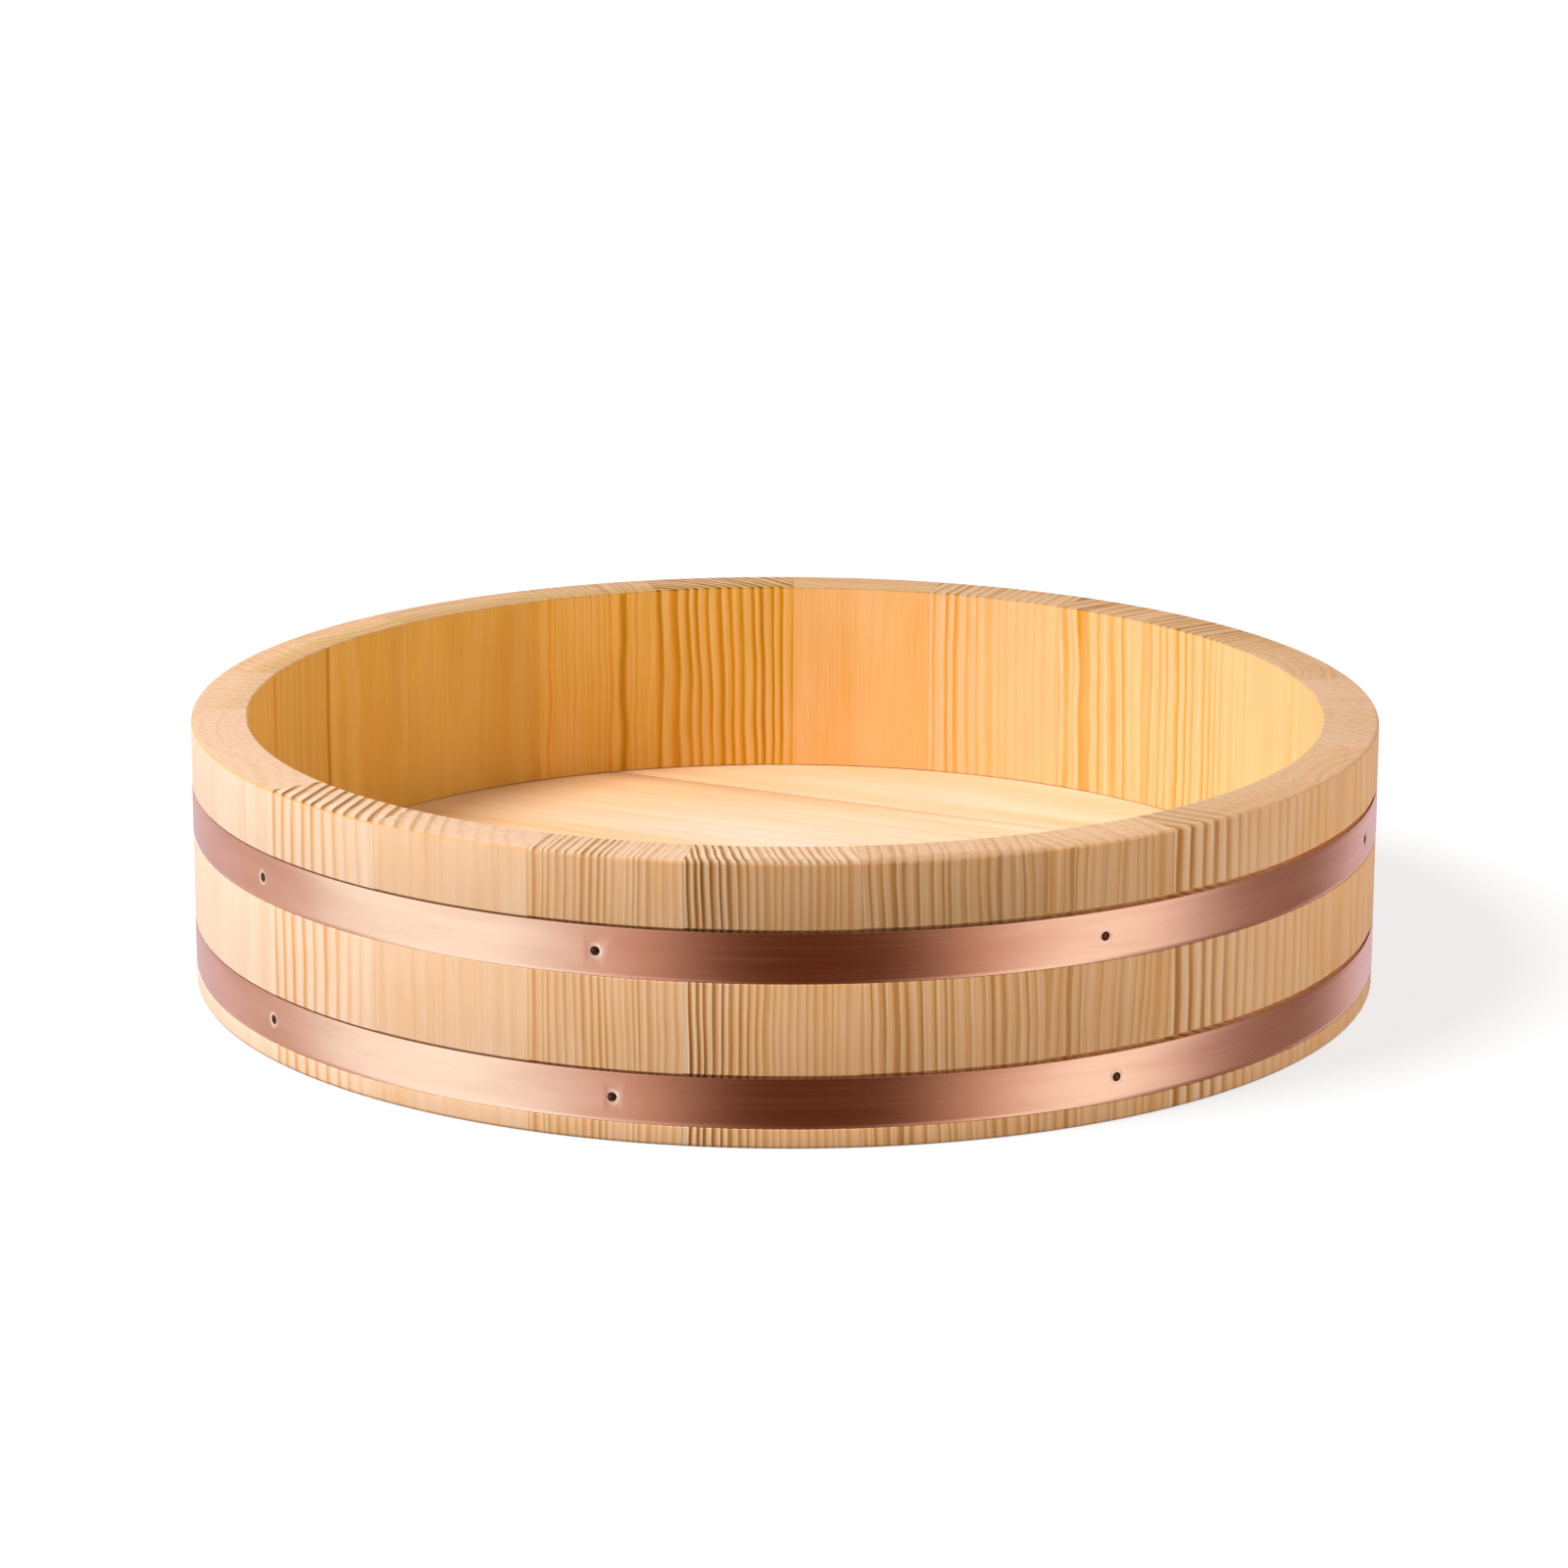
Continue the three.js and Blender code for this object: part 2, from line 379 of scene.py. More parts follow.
class Sawing(Enum):
    """How a stave was cut from the log: where the log's heart lies from the middle of the outer face, in mm.

    The first number runs round the tub to the right as seen from outside, the second inwards.
    """

    QUARTER_LEFT = (-260.0, 8.0)
    QUARTER_RIGHT = (260.0, 8.0)
    LEANING_LEFT = (-130.0, 34.0)
    LEANING_RIGHT = (130.0, 34.0)
    RIFT_LEFT = (-95.0, 67.0)
    RIFT_RIGHT = (95.0, 67.0)
    SLASH_RIGHT = (33.0, 41.0)
    HEART_INSIDE = (6.0, 62.0)
    HEART_OUTSIDE = (-8.0, -52.0)


@dataclass(frozen=True)
class SawnEnd:
    """How the sawn ends of a stave look.

    Attributes:
        end_left: Strength of the growth lines at the left edge, seen from outside.
        end_right: Their strength at the right edge.
        end_shade: What the ends keep of their brightness: partly the end grain's own colour, partly painted
            shade, darker on the staves at the right and back.
        end_pale: How far the pale colour of fresh end grain takes the place of the wood's own.
    """

    end_left: float = 0.2
    end_right: float = 0.2
    end_shade: float = 0.75
    end_pale: float = 0.3


@dataclass(frozen=True)
class StaveGrain:
    """How the growth lines of one stave run, and how they show.

    Attributes:
        sawing: How the stave was cut.
        ring: Width of a growth ring, in mm.
        left: Strength of the dark lines at the left edge, seen from outside.
        right: Strength of the dark lines at the right edge.
        tone: Colour of the outer face: 0 cream, 1 pale, 2 tan, 3 golden, 4 honey and 5 amber.
        inside: Colour of the inner face, in the same way.
        ends: How its sawn ends look.
        change: Where left gives way to right, from -1 at the left edge to 1 at the right.
        top: What the outer face keeps of its brightness above the upper hoop: painted shade, where less light
            falls than lower down.
        cloud: How far the colour drifts from place to place.
        wave: How far the lines wander, in mm.
        lean: How far the lines lean, in mm for each mm of height.
        uneven: How much the lines differ from one another.
        bold: Strength of one bold line by itself, or less than 0 for a pale band.
        bold_at: Where that line runs on the outer face: to the right of its middle, in mm. It slants inwards.
        bold_width: Half its width, in mm.
        deeper: How far honey takes the place of the tone at the left end of a long board: painted shade and
            warm bounce light, where the tub's left wall shades the floor.
    """

    sawing: Sawing
    ring: float
    left: float
    right: float
    tone: float
    inside: float
    ends: SawnEnd = SawnEnd()
    change: float = -0.35
    top: float = 1.0
    cloud: float = 0.14
    wave: float = 0.8
    lean: float = 0.0
    uneven: float = 0.5
    bold: float = 0.0
    bold_at: float = 0.0
    bold_width: float = 1.0
    deeper: float = 0.0


STAVE_GRAINS = (
    StaveGrain(
        Sawing.RIFT_RIGHT, 4.0, 0.34, 0.08, 1.15, 3.1, SawnEnd(1.0, 0.7, 0.98, 0.80), change=0.4, uneven=0.15
    ),
    StaveGrain(Sawing.RIFT_RIGHT, 4.6, 0.05, 0.04, 1.48, 3.0, SawnEnd(0.35, 0.06, 1.00, 1.00), uneven=0.3),
    StaveGrain(
        Sawing.QUARTER_RIGHT, 2.4, 0.34, 0.30, 1.75, 3.0, SawnEnd(0.7, 0.2, 1.02, 1.00),
        change=0.2, top=0.95, uneven=0.6,
    ),
    StaveGrain(
        Sawing.LEANING_RIGHT, 2.3, 1.20, 0.18, 1.90, 3.0, SawnEnd(1.2, 0.4, 1.02, 1.00),
        change=-0.4, top=0.80, uneven=0.4,
    ),
    StaveGrain(
        Sawing.LEANING_LEFT, 3.3, 0.50, 0.38, 1.97, 3.0, SawnEnd(0.24, 0.18, 0.85, 0.60),
        top=0.81, wave=1.1, lean=0.03, uneven=0.8,
    ),
    StaveGrain(
        Sawing.QUARTER_LEFT, 3.3, 0.28, 0.20, 1.92, 3.0, SawnEnd(0.18, 0.13, 0.87, 0.60),
        top=0.94, wave=1.2, lean=-0.02, uneven=0.75, bold=0.4, bold_at=-13.8, bold_width=1.3,
    ),
    StaveGrain(Sawing.LEANING_RIGHT, 4.5, 0.64, 0.12, 1.80, 3.0, SawnEnd(0.33, 0.02, 0.71, 0.35), uneven=0.2),
    StaveGrain(Sawing.HEART_OUTSIDE, 3.0, 0.08, 0.08, 1.90, 3.0, SawnEnd(0.08, 0.08, 0.74, 0.45)),
    StaveGrain(Sawing.RIFT_LEFT, 2.6, 0.20, 0.35, 1.85, 3.0, SawnEnd(0.14, 0.25, 0.79, 0.75)),
    StaveGrain(Sawing.QUARTER_LEFT, 2.8, 0.25, 0.20, 1.90, 3.0, SawnEnd(0.18, 0.14, 0.79, 0.75)),
    StaveGrain(Sawing.HEART_INSIDE, 3.4, 0.15, 0.08, 1.80, 2.9, SawnEnd(0.15, 0.08, 0.68, 0.35)),
    StaveGrain(Sawing.QUARTER_RIGHT, 4.0, 0.10, 0.55, 1.90, 2.9, SawnEnd(0.06, 0.56, 0.62, 0.05)),
    StaveGrain(
        Sawing.LEANING_LEFT, 6.4, 0.38, 0.95, 1.95, 3.0, SawnEnd(0.28, 0.63, 0.67, 0.20), wave=1.8, uneven=0.6
    ),
    StaveGrain(Sawing.QUARTER_LEFT, 3.6, 0.10, 0.58, 1.90, 3.0, SawnEnd(0.28, 0.49, 0.72, 0.35), change=0.1),
    StaveGrain(
        Sawing.HEART_OUTSIDE, 4.2, 0.18, 0.20, 1.90, 3.3, SawnEnd(0.12, 0.12, 0.70, 0.15),
        bold=0.12, bold_at=11.9, bold_width=5.0,
    ),
    StaveGrain(
        Sawing.SLASH_RIGHT, 3.0, 0.90, 0.90, 2.00, 4.0, SawnEnd(0.8, 0.9, 0.68, 0.10), wave=1.0, uneven=0.3
    ),
    StaveGrain(
        Sawing.QUARTER_RIGHT, 2.4, 0.40, 0.30, 2.10, 3.92, SawnEnd(0.32, 0.24, 0.72, 0.40),
        wave=2.2, uneven=0.85, bold=0.9, bold_at=-12.54, bold_width=2.0,
    ),
    # Staves 18 to 21 have amber inner faces: partly the wood's own colour, partly painted shade on the inner
    # wall at the left, which faces away from the key lamp.
    StaveGrain(Sawing.HEART_INSIDE, 4.4, 0.12, 0.10, 2.00, 4.5, SawnEnd(0.12, 0.10, 0.76, 0.45)),
    StaveGrain(Sawing.HEART_OUTSIDE, 3.6, 0.12, 0.15, 1.95, 4.7, SawnEnd(0.12, 0.15, 0.86, 0.45)),
    StaveGrain(
        Sawing.RIFT_LEFT, 4.6, 0.10, 0.14, 1.90, 5.0, SawnEnd(0.08, 0.11, 0.90, 0.50),
        bold=0.8, bold_at=-22.64, bold_width=1.5,
    ),
    StaveGrain(
        Sawing.QUARTER_LEFT, 5.0, 0.12, 0.10, 1.70, 4.9, SawnEnd(0.10, 0.08, 0.96, 0.80),
        bold=0.6, bold_at=-26.24, bold_width=1.6,
    ),
    StaveGrain(Sawing.HEART_INSIDE, 4.0, 0.08, 0.05, 0.95, 3.6, SawnEnd(0.08, 0.05, 1.00, 1.00)),
    StaveGrain(Sawing.HEART_OUTSIDE, 4.6, 0.04, 0.07, 0.90, 3.3, SawnEnd(0.04, 0.07, 1.02, 1.00)),
)


@dataclass(frozen=True)
class Billet:
    """Where a stave or board lay in its log, in mm.

    Attributes:
        place: Turns a place on the tub into a place in the log: across, inwards and along the grain.
        half_width: Half the width of the piece.
        half_length: Half its length.
        depth: Its thickness.
        seed: Which stretch of the log it comes from.
    """

    place: Matrix
    half_width: float
    half_length: float
    depth: float
    seed: float


@dataclass(frozen=True)
class PlanedSoftwood:
    """The finish of the staves and boards: bare planed softwood with dark growth lines.

    Attributes:
        tones: Colours of the wood: cream, pale, tan, golden, honey and amber, the last darker partly as
            painted shade.
        late: What a full growth line leaves of each colour channel on the outer face.
        late_pale: What it leaves on the outer face of pale wood.
        inside: What a strong growth line leaves on the inner face.
        inside_faint: What a faint one leaves there.
        late_end: What a growth line leaves on sawn ends.
        end: Colour of fresh end grain.
        handled: What is left of each colour channel on the rim's outer edge, which is darker and more orange.
        gloss: How much light its surface throws back.
        bumps: Strength and height of its small bumps.
    """

    tones: tuple[Colour, ...] = (
        from_srgb(250, 230, 206),
        from_srgb(247, 213, 184),
        from_srgb(238, 180, 120),
        from_srgb(242, 195, 143),
        from_srgb(228, 178, 80),
        from_srgb(204, 156, 72),
    )
    late: Colour = (0.34, 0.21, 0.088, 1.0)
    late_pale: Colour = (0.58, 0.21, 0.042, 1.0)
    inside: Colour = (0.63, 0.475, 0.04, 1.0)
    inside_faint: Colour = (0.82, 0.42, 0.08, 1.0)
    late_end: Colour = (0.33, 0.21, 0.075, 1.0)
    end: Colour = from_srgb(224, 186, 154)
    handled: Colour = (0.97, 0.77, 0.50, 1.0)
    gloss: float = 0.2
    bumps: tuple[float, float] = (0.35, 0.25 * MM)

    def group(self, numbers: Iterable[str]) -> bpy.types.NodeTree:
        """Builds the wood as a node group, or gives the one already built.

        Args:
            numbers: Names of the numbers that it takes.

        Returns:
            The group, which turns a place in the log, in mm, into colour, roughness and height.
        """
        name = "planed softwood"
        tree = bpy.data.node_groups.get(name)
        if tree is None:
            tree = bpy.data.node_groups.new(name, "ShaderNodeTree")
            bench = NodeBench(tree)
            bench.sockets("Vector", "Place", "Heart")
            bench.sockets("Float", *numbers)
            bench.sockets("Color", "Color", output=True)
            bench.sockets("Float", "Roughness", "Height", output=True)
            WoodNodes(self, bench).lay_out()
        return tree

    def material(self, name: str, billet: Billet, grain: StaveGrain) -> Material:
        """Makes the wood of one stave or board.

        Args:
            name: The material's name.
            billet: Where the piece lay in its log.
            grain: How the growth lines run.

        Returns:
            The material.
        """
        material, bench = new_material(name)
        numbers = numbers_of(billet, grain, grain.ends)
        place = bench.placed(billet.place.to_euler(), billet.place.to_translation(), 1 / MM)
        inputs = {"Place": place, "Heart": (*grain.sawing.value, 0.0), **numbers}
        wood = bench.node("ShaderNodeGroup", inputs, node_tree=self.group(numbers)).outputs
        bench.surface({
            "Base Color": wood["Color"],
            "Roughness": wood["Roughness"],
            "Normal": bench.bump(wood["Height"], *self.bumps),
            "Specular IOR Level": self.gloss,
        })
        return material


class WoodNodes:
    """The nodes of the wood's group. Places and distances are in mm, and parts of a ring in shares of it.

    Attributes:
        END_SKIN: From where to where, past the sawn end, wood turns into end grain.
        RIM_EDGE: Where the darker outer edge of the rim starts and is full, then where it goes off and ends.
        LATE: The same for the dark late wood of a ring.
        EARLY: The same for its pale early wood.
        FINE: The same for a fine line.
        FINE_LINES: How many fine lines go to a ring, and their strength.
        DRIFT: How fast the width of the rings drifts from ring to ring, and how far.
        BREADTH: How far the breadth of the late wood differs from ring to ring.
        CHANGE: Half the share of the width over which the left edge's strength turns into the right one's.
        FACES: The shares of the depth between which the outer face's look turns into the inner one's.
        OUTSIDE: The shares of the depth between which the outer face ends.
        ABOVE_HOOP: Heights over the middle between which the part above the upper hoop starts, where shade is
            painted.
        LEFT_END: Places along a board between which the painted shade at its left end fades out.
        SLANT: How far a bold line goes aside for each mm inwards.
        BOLD_CORE: Half the width over which a bold line is full.
        STREAKS: How fast the fine streaks along the grain change across, inwards and along.
        FLECKS: The same for the flecks of the sawn ends.
        WANDERING: The same for the wandering of the growth lines.
        FADING: The same for their fading in and out.
        CLOUDS: The same for the drift of the colour, where the last number is for half a length of 1.
    """

    END_SKIN = (-0.8, -0.2)
    RIM_EDGE = (-1.2, -0.7, -0.5, -0.1)
    LATE = (0.4, 0.80, 0.84, 1.0)
    EARLY = (0.0, 0.05, 0.08, 0.5)
    FINE = (0.4, 0.8, 0.85, 1.0)
    FINE_LINES = (2.7, 0.32)
    DRIFT = (0.45, 2.5)
    BREADTH = 0.6
    CHANGE = 0.55
    FACES = (0.1, 0.9)
    OUTSIDE = (0.1, 0.4)
    ABOVE_HOOP = (8.0, 22.0)
    LEFT_END = (-190.0, 0.0)
    SLANT = 0.2
    BOLD_CORE = 0.2
    STREAKS = (1.7, 1.7, 0.03)
    FLECKS = (0.5, 0.5, 0.0)
    WANDERING = (0.03, 0.03, 0.018)
    FADING = (0.15, 0.15, 0.02)
    CLOUDS = (0.09, 0.09, 1.23)

    def __init__(self, finish: PlanedSoftwood, bench: NodeBench) -> None:
        """Starts with what every step needs: where a spot lies in its piece.

        Args:
            finish: The wood's colours.
            bench: Where the nodes go.
        """
        self.finish = finish
        self.bench = bench
        self.given = bench.given()
        seed = self.given["Seed"]
        self.shift = bench.join(seed, seed, seed)
        self.across, self.inwards, self.along = bench.split(self.given["Place"])
        self.past = abs(self.along) - self.given["Half Length"]
        self.ends = bench.ramp(self.past, *self.END_SKIN)
        self.deep = bench.math("DIVIDE", self.inwards, self.given["Depth"], clamp=True)

    def noise(self, stretch: Value, detail: float = 2.0) -> Wire:
        """Adds a noise that differs from piece to piece."""
        return self.bench.noise(self.given["Place"], stretch, detail, self.shift)

    def at_ends(self, face: Value, end: Value) -> Wire:
        """Gives one value on the faces and another on the sawn ends."""
        return self.bench.ramp(self.ends, 0.0, 1.0, face, end)

    def lay_out(self) -> None:
        """Puts in all the nodes."""
        bench = self.bench
        line, early = self.growth_lines()
        streak = self.noise(self.STREAKS, 3.0)
        colour = self.stained(self.ground(early), line)
        grey = self.shade(streak)
        shade = bench.node("ShaderNodeCombineColor", {0: grey, 1: grey, 2: grey}).outputs[0]
        colour = bench.blend(1.0, colour, shade, "MULTIPLY")
        colour = bench.blend(self.handled_edge(), colour, self.finish.handled, "MULTIPLY")
        rough = bench.ramp(streak, 0.2, 0.8, 0.50, 0.62) + line * -0.08 + self.ends * 0.12
        height = streak * 0.35 + line * 0.15
        bench.node("NodeGroupOutput", {"Color": colour, "Roughness": rough, "Height": height})

    def growth_lines(self) -> tuple[Wire, Wire]:
        """Adds the growth rings: dark late wood, and the pale early wood that follows it.

        Returns:
            The strengths of the late wood and of the early wood.
        """
        bench, given = self.bench, self.given
        from_heart = bench.vector("SUBTRACT", given["Place"], given["Heart"])
        flat = bench.vector("MULTIPLY", from_heart, (1.0, 1.0, 0.0))
        reach = bench.node("ShaderNodeVectorMath", {0: flat}, operation="LENGTH").outputs["Value"]
        wander = (self.noise(self.WANDERING) - 0.5) * (given["Wave"] * 4.0)
        rings = (Wire(bench, reach) + (wander + self.along * given["Lean"])) / given["Ring"]
        pace, far = self.DRIFT
        spot = {"W": rings * pace + given["Seed"], "Scale": 1.0, "Detail": 1.0}
        drift = bench.node("ShaderNodeTexNoise", spot, noise_dimensions="1D").outputs[0]
        rings = rings + Wire(bench, drift) * (given["Uneven"] * far)
        part = bench.math("FRACT", rings)
        # Each ring has its own strength and its own breadth.
        number = bench.math("FLOOR", rings) + given["Seed"]
        chance = bench.node("ShaderNodeTexWhiteNoise", {"W": number}, noise_dimensions="1D").outputs
        breadth = bench.node("ShaderNodeSeparateColor", {0: chance["Color"]}).outputs[1]
        differ = (0.5 - Wire(bench, breadth)) * (given["Uneven"] * self.BREADTH)
        start, *rest = self.LATE
        late = bench.pulse(part, differ + start, *rest)
        late = late * (1.0 - Wire(bench, chance["Value"]) * given["Uneven"])
        # Fine lines lie between the rings.
        count, faint = self.FINE_LINES
        fine = bench.pulse(bench.math("FRACT", rings * count), *self.FINE)
        late = late + fine * (given["Uneven"] * faint)
        # One bold line or band runs by itself. It doesn't show on the sawn ends.
        aside = self.across + wander - given["Bold At"] - self.inwards * self.SLANT
        bold = bench.ramp(abs(aside), self.BOLD_CORE, given["Bold Width"], given["Bold"], 0.0)
        bold = bold * self.at_ends(1.0, 0.0)
        strength = self.strength()
        late = bench.math("MAXIMUM", late * strength, bold) + bench.math("MINIMUM", bold, 0.0)
        return late, bench.pulse(part, *self.EARLY) * strength

    def strength(self) -> Wire:
        """Adds the strength of the growth lines, from the left edge of the piece to the right.

        Returns:
            The strength.
        """
        bench, given = self.bench, self.given
        left = self.at_ends(given["Left"], given["End Left"])
        right = self.at_ends(given["Right"], given["End Right"])
        from_change = self.across / given["Half Width"] - given["Change"]
        fade = bench.ramp(self.noise(self.FADING), 0.3, 0.7, 0.7, 1.15)
        return bench.ramp(from_change, -self.CHANGE, self.CHANGE, left, right) * fade

    def ground(self, early: Wire) -> Wire:
        """Adds the colour of the wood between its growth lines.

        Args:
            early: Strength of the early wood.

        Returns:
            The colour.
        """
        bench, given, tones = self.bench, self.given, self.finish.tones
        across, inwards, along = self.CLOUDS
        length = bench.math("DIVIDE", along, given["Half Length"])
        cloud = bench.ramp(self.noise(bench.join(across, inwards, length)), 0.25, 0.75, -1.0, 1.0)
        tone = bench.ramp(self.deep, *self.FACES, given["Tone"], given["Inside"]) + cloud * given["Cloud"]
        colour = tones[0]
        for step, deeper in enumerate(tones[1:]):
            colour = bench.blend(tone - float(step), colour, deeper)
        # Painted shade: the left end of a floor board turns towards honey, for the left wall's shadow and its
        # warm bounce light.
        painted_left_shade = bench.ramp(self.along, *self.LEFT_END, 1.0, 0.0)
        colour = bench.blend(painted_left_shade * given["Deeper"], colour, tones[4])
        colour = bench.blend(self.ends * given["End Pale"], colour, self.finish.end)
        return bench.blend(early * bench.ramp(self.deep, *self.FACES, 0.6, 0.2), colour, tones[0])

    def stained(self, colour: Wire, line: Wire) -> Wire:
        """Darkens a colour by the growth lines.

        Args:
            colour: The colour.
            line: Strength of the growth lines.

        Returns:
            The colour with its lines.
        """
        bench, finish = self.bench, self.finish
        outer = bench.blend(bench.ramp(self.given["Tone"], 1.2, 1.6), finish.late_pale, finish.late)
        inner = bench.blend(bench.ramp(line, 0.3, 0.8), finish.inside_faint, finish.inside)
        late = bench.blend(self.ends, bench.blend(self.deep, outer, inner), finish.late_end)
        stain = bench.node("ShaderNodeGamma", {"Color": late, "Gamma": line}).outputs[0]
        return bench.blend(1.0, colour, stain, "MULTIPLY")

    def outside(self) -> Wire:
        """Tells where the outer face is."""
        return self.bench.ramp(self.deep, *self.OUTSIDE, 1.0, 0.0)

    def shade(self, streak: Wire) -> Wire:
        """Adds what is left of the brightness: less in streaks, on sawn ends, where it is partly painted
        shade, and above the upper hoop, where it is painted shade.

        Args:
            streak: The fine streaks along the grain.

        Returns:
            What is left.
        """
        bench, given = self.bench, self.given
        # Sawn ends keep End Shade of their brightness: partly their own colour, partly painted shade on the
        # staves at the right and back.
        sawn = given["End Shade"] * bench.ramp(self.noise(self.FLECKS, 3.0), 0.25, 0.75, 0.93, 1.06)
        # Painted shade: the outer face above the upper hoop keeps only Top of its brightness.
        painted_top_shade = self.outside() * bench.ramp(self.along, *self.ABOVE_HOOP)
        grey = bench.ramp(streak, 0.2, 0.8, 0.93, 1.05) * self.at_ends(1.0, sawn)
        return grey * bench.ramp(painted_top_shade, 0.0, 1.0, 1.0, given["Top"])

    def handled_edge(self) -> Wire:
        """Finds the rim's outer edge, which is darker and more orange, and more so on pale wood.

        Returns:
            How much of it a spot belongs to.
        """
        edge = self.bench.pulse(self.past, *self.RIM_EDGE)
        return edge * self.bench.ramp(self.given["Tone"], 1.2, 1.8, 1.0, 0.3) * self.outside()


@dataclass(frozen=True)
class BrushedCopper:
    """The finish of the hoops: copper strip, brushed along its length.

    Attributes:
        colour: Colour of the bare metal.
        dull: Colour where it has dulled a little.
        bright: Colour in the dimples: partly fresh metal from the nail's blow, partly a painted highlight
            round each nail.
        roughness: Roughness of the bare metal.
        differ: How far the roughness differs from line to line.
        bumps: Strength and height of the brushed lines.
        brushing: How fast the brushed lines change along the strip, through it and up it, for each mm.
        clouds: The same for its dulling.
        speckles: How fast the copper of the dimples changes, for each mm.
    """

    colour: Colour = from_srgb(235, 180, 150)
    dull: Colour = from_srgb(224, 166, 136)
    bright: Colour = from_srgb(250, 208, 184)
    roughness: float = 0.26
    differ: float = 0.02
    bumps: tuple[float, float] = (0.014, 0.05 * MM)
    brushing: tuple[float, float, float] = (0.01, 0.0, 1.4)
    clouds: tuple[float, float, float] = (0.02, 0.0, 0.12)
    speckles: float = 2.0

    def struck(self) -> Material:
        """Makes the copper of a dimple, where a blow has taken the brushing away. It is paler: partly fresh
        metal, partly a painted highlight round the nail.

        Returns:
            The material.
        """
        material, bench = new_material("struck copper strip")
        speckle = bench.noise(bench.placed((0.0, 0.0, 0.0), scale=1 / MM), (self.speckles,) * 3)
        bench.surface({
            "Base Color": bench.blend(bench.ramp(speckle, 0.4, 0.7), self.bright, self.colour),
            "Roughness": bench.ramp(speckle, 0.3, 0.7, 0.40, 0.50),
            "Metallic": 1.0,
        })
        return material

    def material(self, radius: float, end: float) -> Material:
        """Makes the copper of a hoop.

        Args:
            radius: Radius of the hoop, in metres.
            end: Angle of the outer end of the strip.

        Returns:
            The material.
        """
        material, bench = new_material("brushed copper strip")
        right, back, up = bench.split(bench.placed((0.0, 0.0, math.pi - end)))
        along = bench.math("ARCTAN2", right, back * -1.0) * (radius / MM)
        lined = bench.join(along, 0.0, up / MM)
        brushing = bench.noise(lined, self.brushing, 1.0)
        cloud = bench.noise(lined, self.clouds, 3.0)
        bench.surface({
            "Base Color": bench.blend(bench.ramp(cloud, 0.35, 0.75), self.colour, self.dull),
            "Roughness": bench.ramp(brushing, 0.25, 0.75, -self.differ, self.differ) + self.roughness,
            "Metallic": 1.0,
            "Normal": bench.bump(brushing, *self.bumps),
        })
        return material


@dataclass(frozen=True)
class DulledCopper:
    """The finish of the nails: copper that has gone dark in its dimple.

    Attributes:
        bright: Colour where it is rubbed.
        dark: Colour where it is dull.
        bumps: Strength and height of its small bumps.
        speckles: How fast it changes, for each mm.
    """

    bright: Colour = from_srgb(126, 70, 40)
    dark: Colour = from_srgb(66, 34, 16)
    bumps: tuple[float, float] = (0.3, 0.1 * MM)
    speckles: float = 1.6

    def material(self) -> Material:
        """Makes the copper of the nails.

        Returns:
            The material.
        """
        material, bench = new_material("dulled copper nail")
        speckle = bench.noise(bench.placed((0.0, 0.0, 0.0), scale=1 / MM), (self.speckles,) * 3, 3.0)
        bench.surface({
            "Base Color": bench.blend(bench.ramp(speckle, 0.4, 0.7), self.dark, self.bright),
            "Roughness": bench.ramp(speckle, 0.3, 0.7, 0.62, 0.42),
            "Metallic": 1.0,
            "Normal": bench.bump(speckle, *self.bumps),
        })
        return material


@dataclass(frozen=True)
class SplitBamboo:
    """The finish of the floor pins: split bamboo, rounded with a knife.

    Attributes:
        pale: Colour of the ground tissue.
        fibre: Colour of the fibre bundles.
        bundles: How fast the bundles change across, along and up, for each mm.
        bumps: Strength and height of the bundles.
    """

    pale: Colour = from_srgb(226, 201, 140)
    fibre: Colour = from_srgb(186, 150, 86)
    bundles: tuple[float, float, float] = (3.0, 0.06, 3.0)
    bumps: tuple[float, float] = (0.3, 0.1 * MM)

    def material(self, direction: float) -> Material:
        """Makes the bamboo.

        Args:
            direction: The way that the floor boards run, as a turn about the tub's axis.

        Returns:
            The material.
        """
        material, bench = new_material("split bamboo")
        bundles = bench.noise(bench.placed((0.0, 0.0, -direction), scale=1 / MM), self.bundles)
        bench.surface({
            "Base Color": bench.blend(bench.ramp(bundles, 0.45, 0.6), self.pale, self.fibre),
            "Roughness": bench.ramp(bundles, 0.3, 0.7, 0.5, 0.65),
            "Normal": bench.bump(bundles, *self.bumps),
        })
        return material


def mesh_piece(name: str, points: Sequence[Vector], edges: Joins = (), faces: Joins = ()) -> Piece:
    """Makes an object from points, edges and faces.

    Args:
        name: Its name.
        points: Its points.
        edges: The numbers of the points that each edge joins.
        faces: The numbers of the points round each face.

    Returns:
        The object, linked to the scene.
    """
    mesh = bpy.data.meshes.new(name)
    mesh.from_pydata([tuple(point) for point in points], edges, faces)
    return link(name, mesh)


def link(name: str, data: bpy.types.ID) -> Piece:
    """Makes an object of a mesh, a lamp or a camera.

    Args:
        name: The object's name.
        data: The mesh, lamp or camera.

    Returns:
        The object, linked to the scene.
    """
    made = bpy.data.objects.new(name, data)
    bpy.context.scene.collection.objects.link(made)
    return made


def make_plain(piece: Piece, sharp: float = 32.0) -> None:
    """Turns a piece with modifiers into a plain closed mesh.

    Args:
        piece: The piece.
        sharp: The angle, in degrees, past which an edge stays sharp.
    """
    bpy.context.view_layer.update()
    graph = bpy.context.evaluated_depsgraph_get()
    mesh = bpy.data.meshes.new_from_object(piece.evaluated_get(graph))
    piece.modifiers.clear()
    outline = piece.data
    piece.data = mesh
    mesh.name = piece.name
    bpy.data.meshes.remove(outline)
    close_up(mesh, sharp)


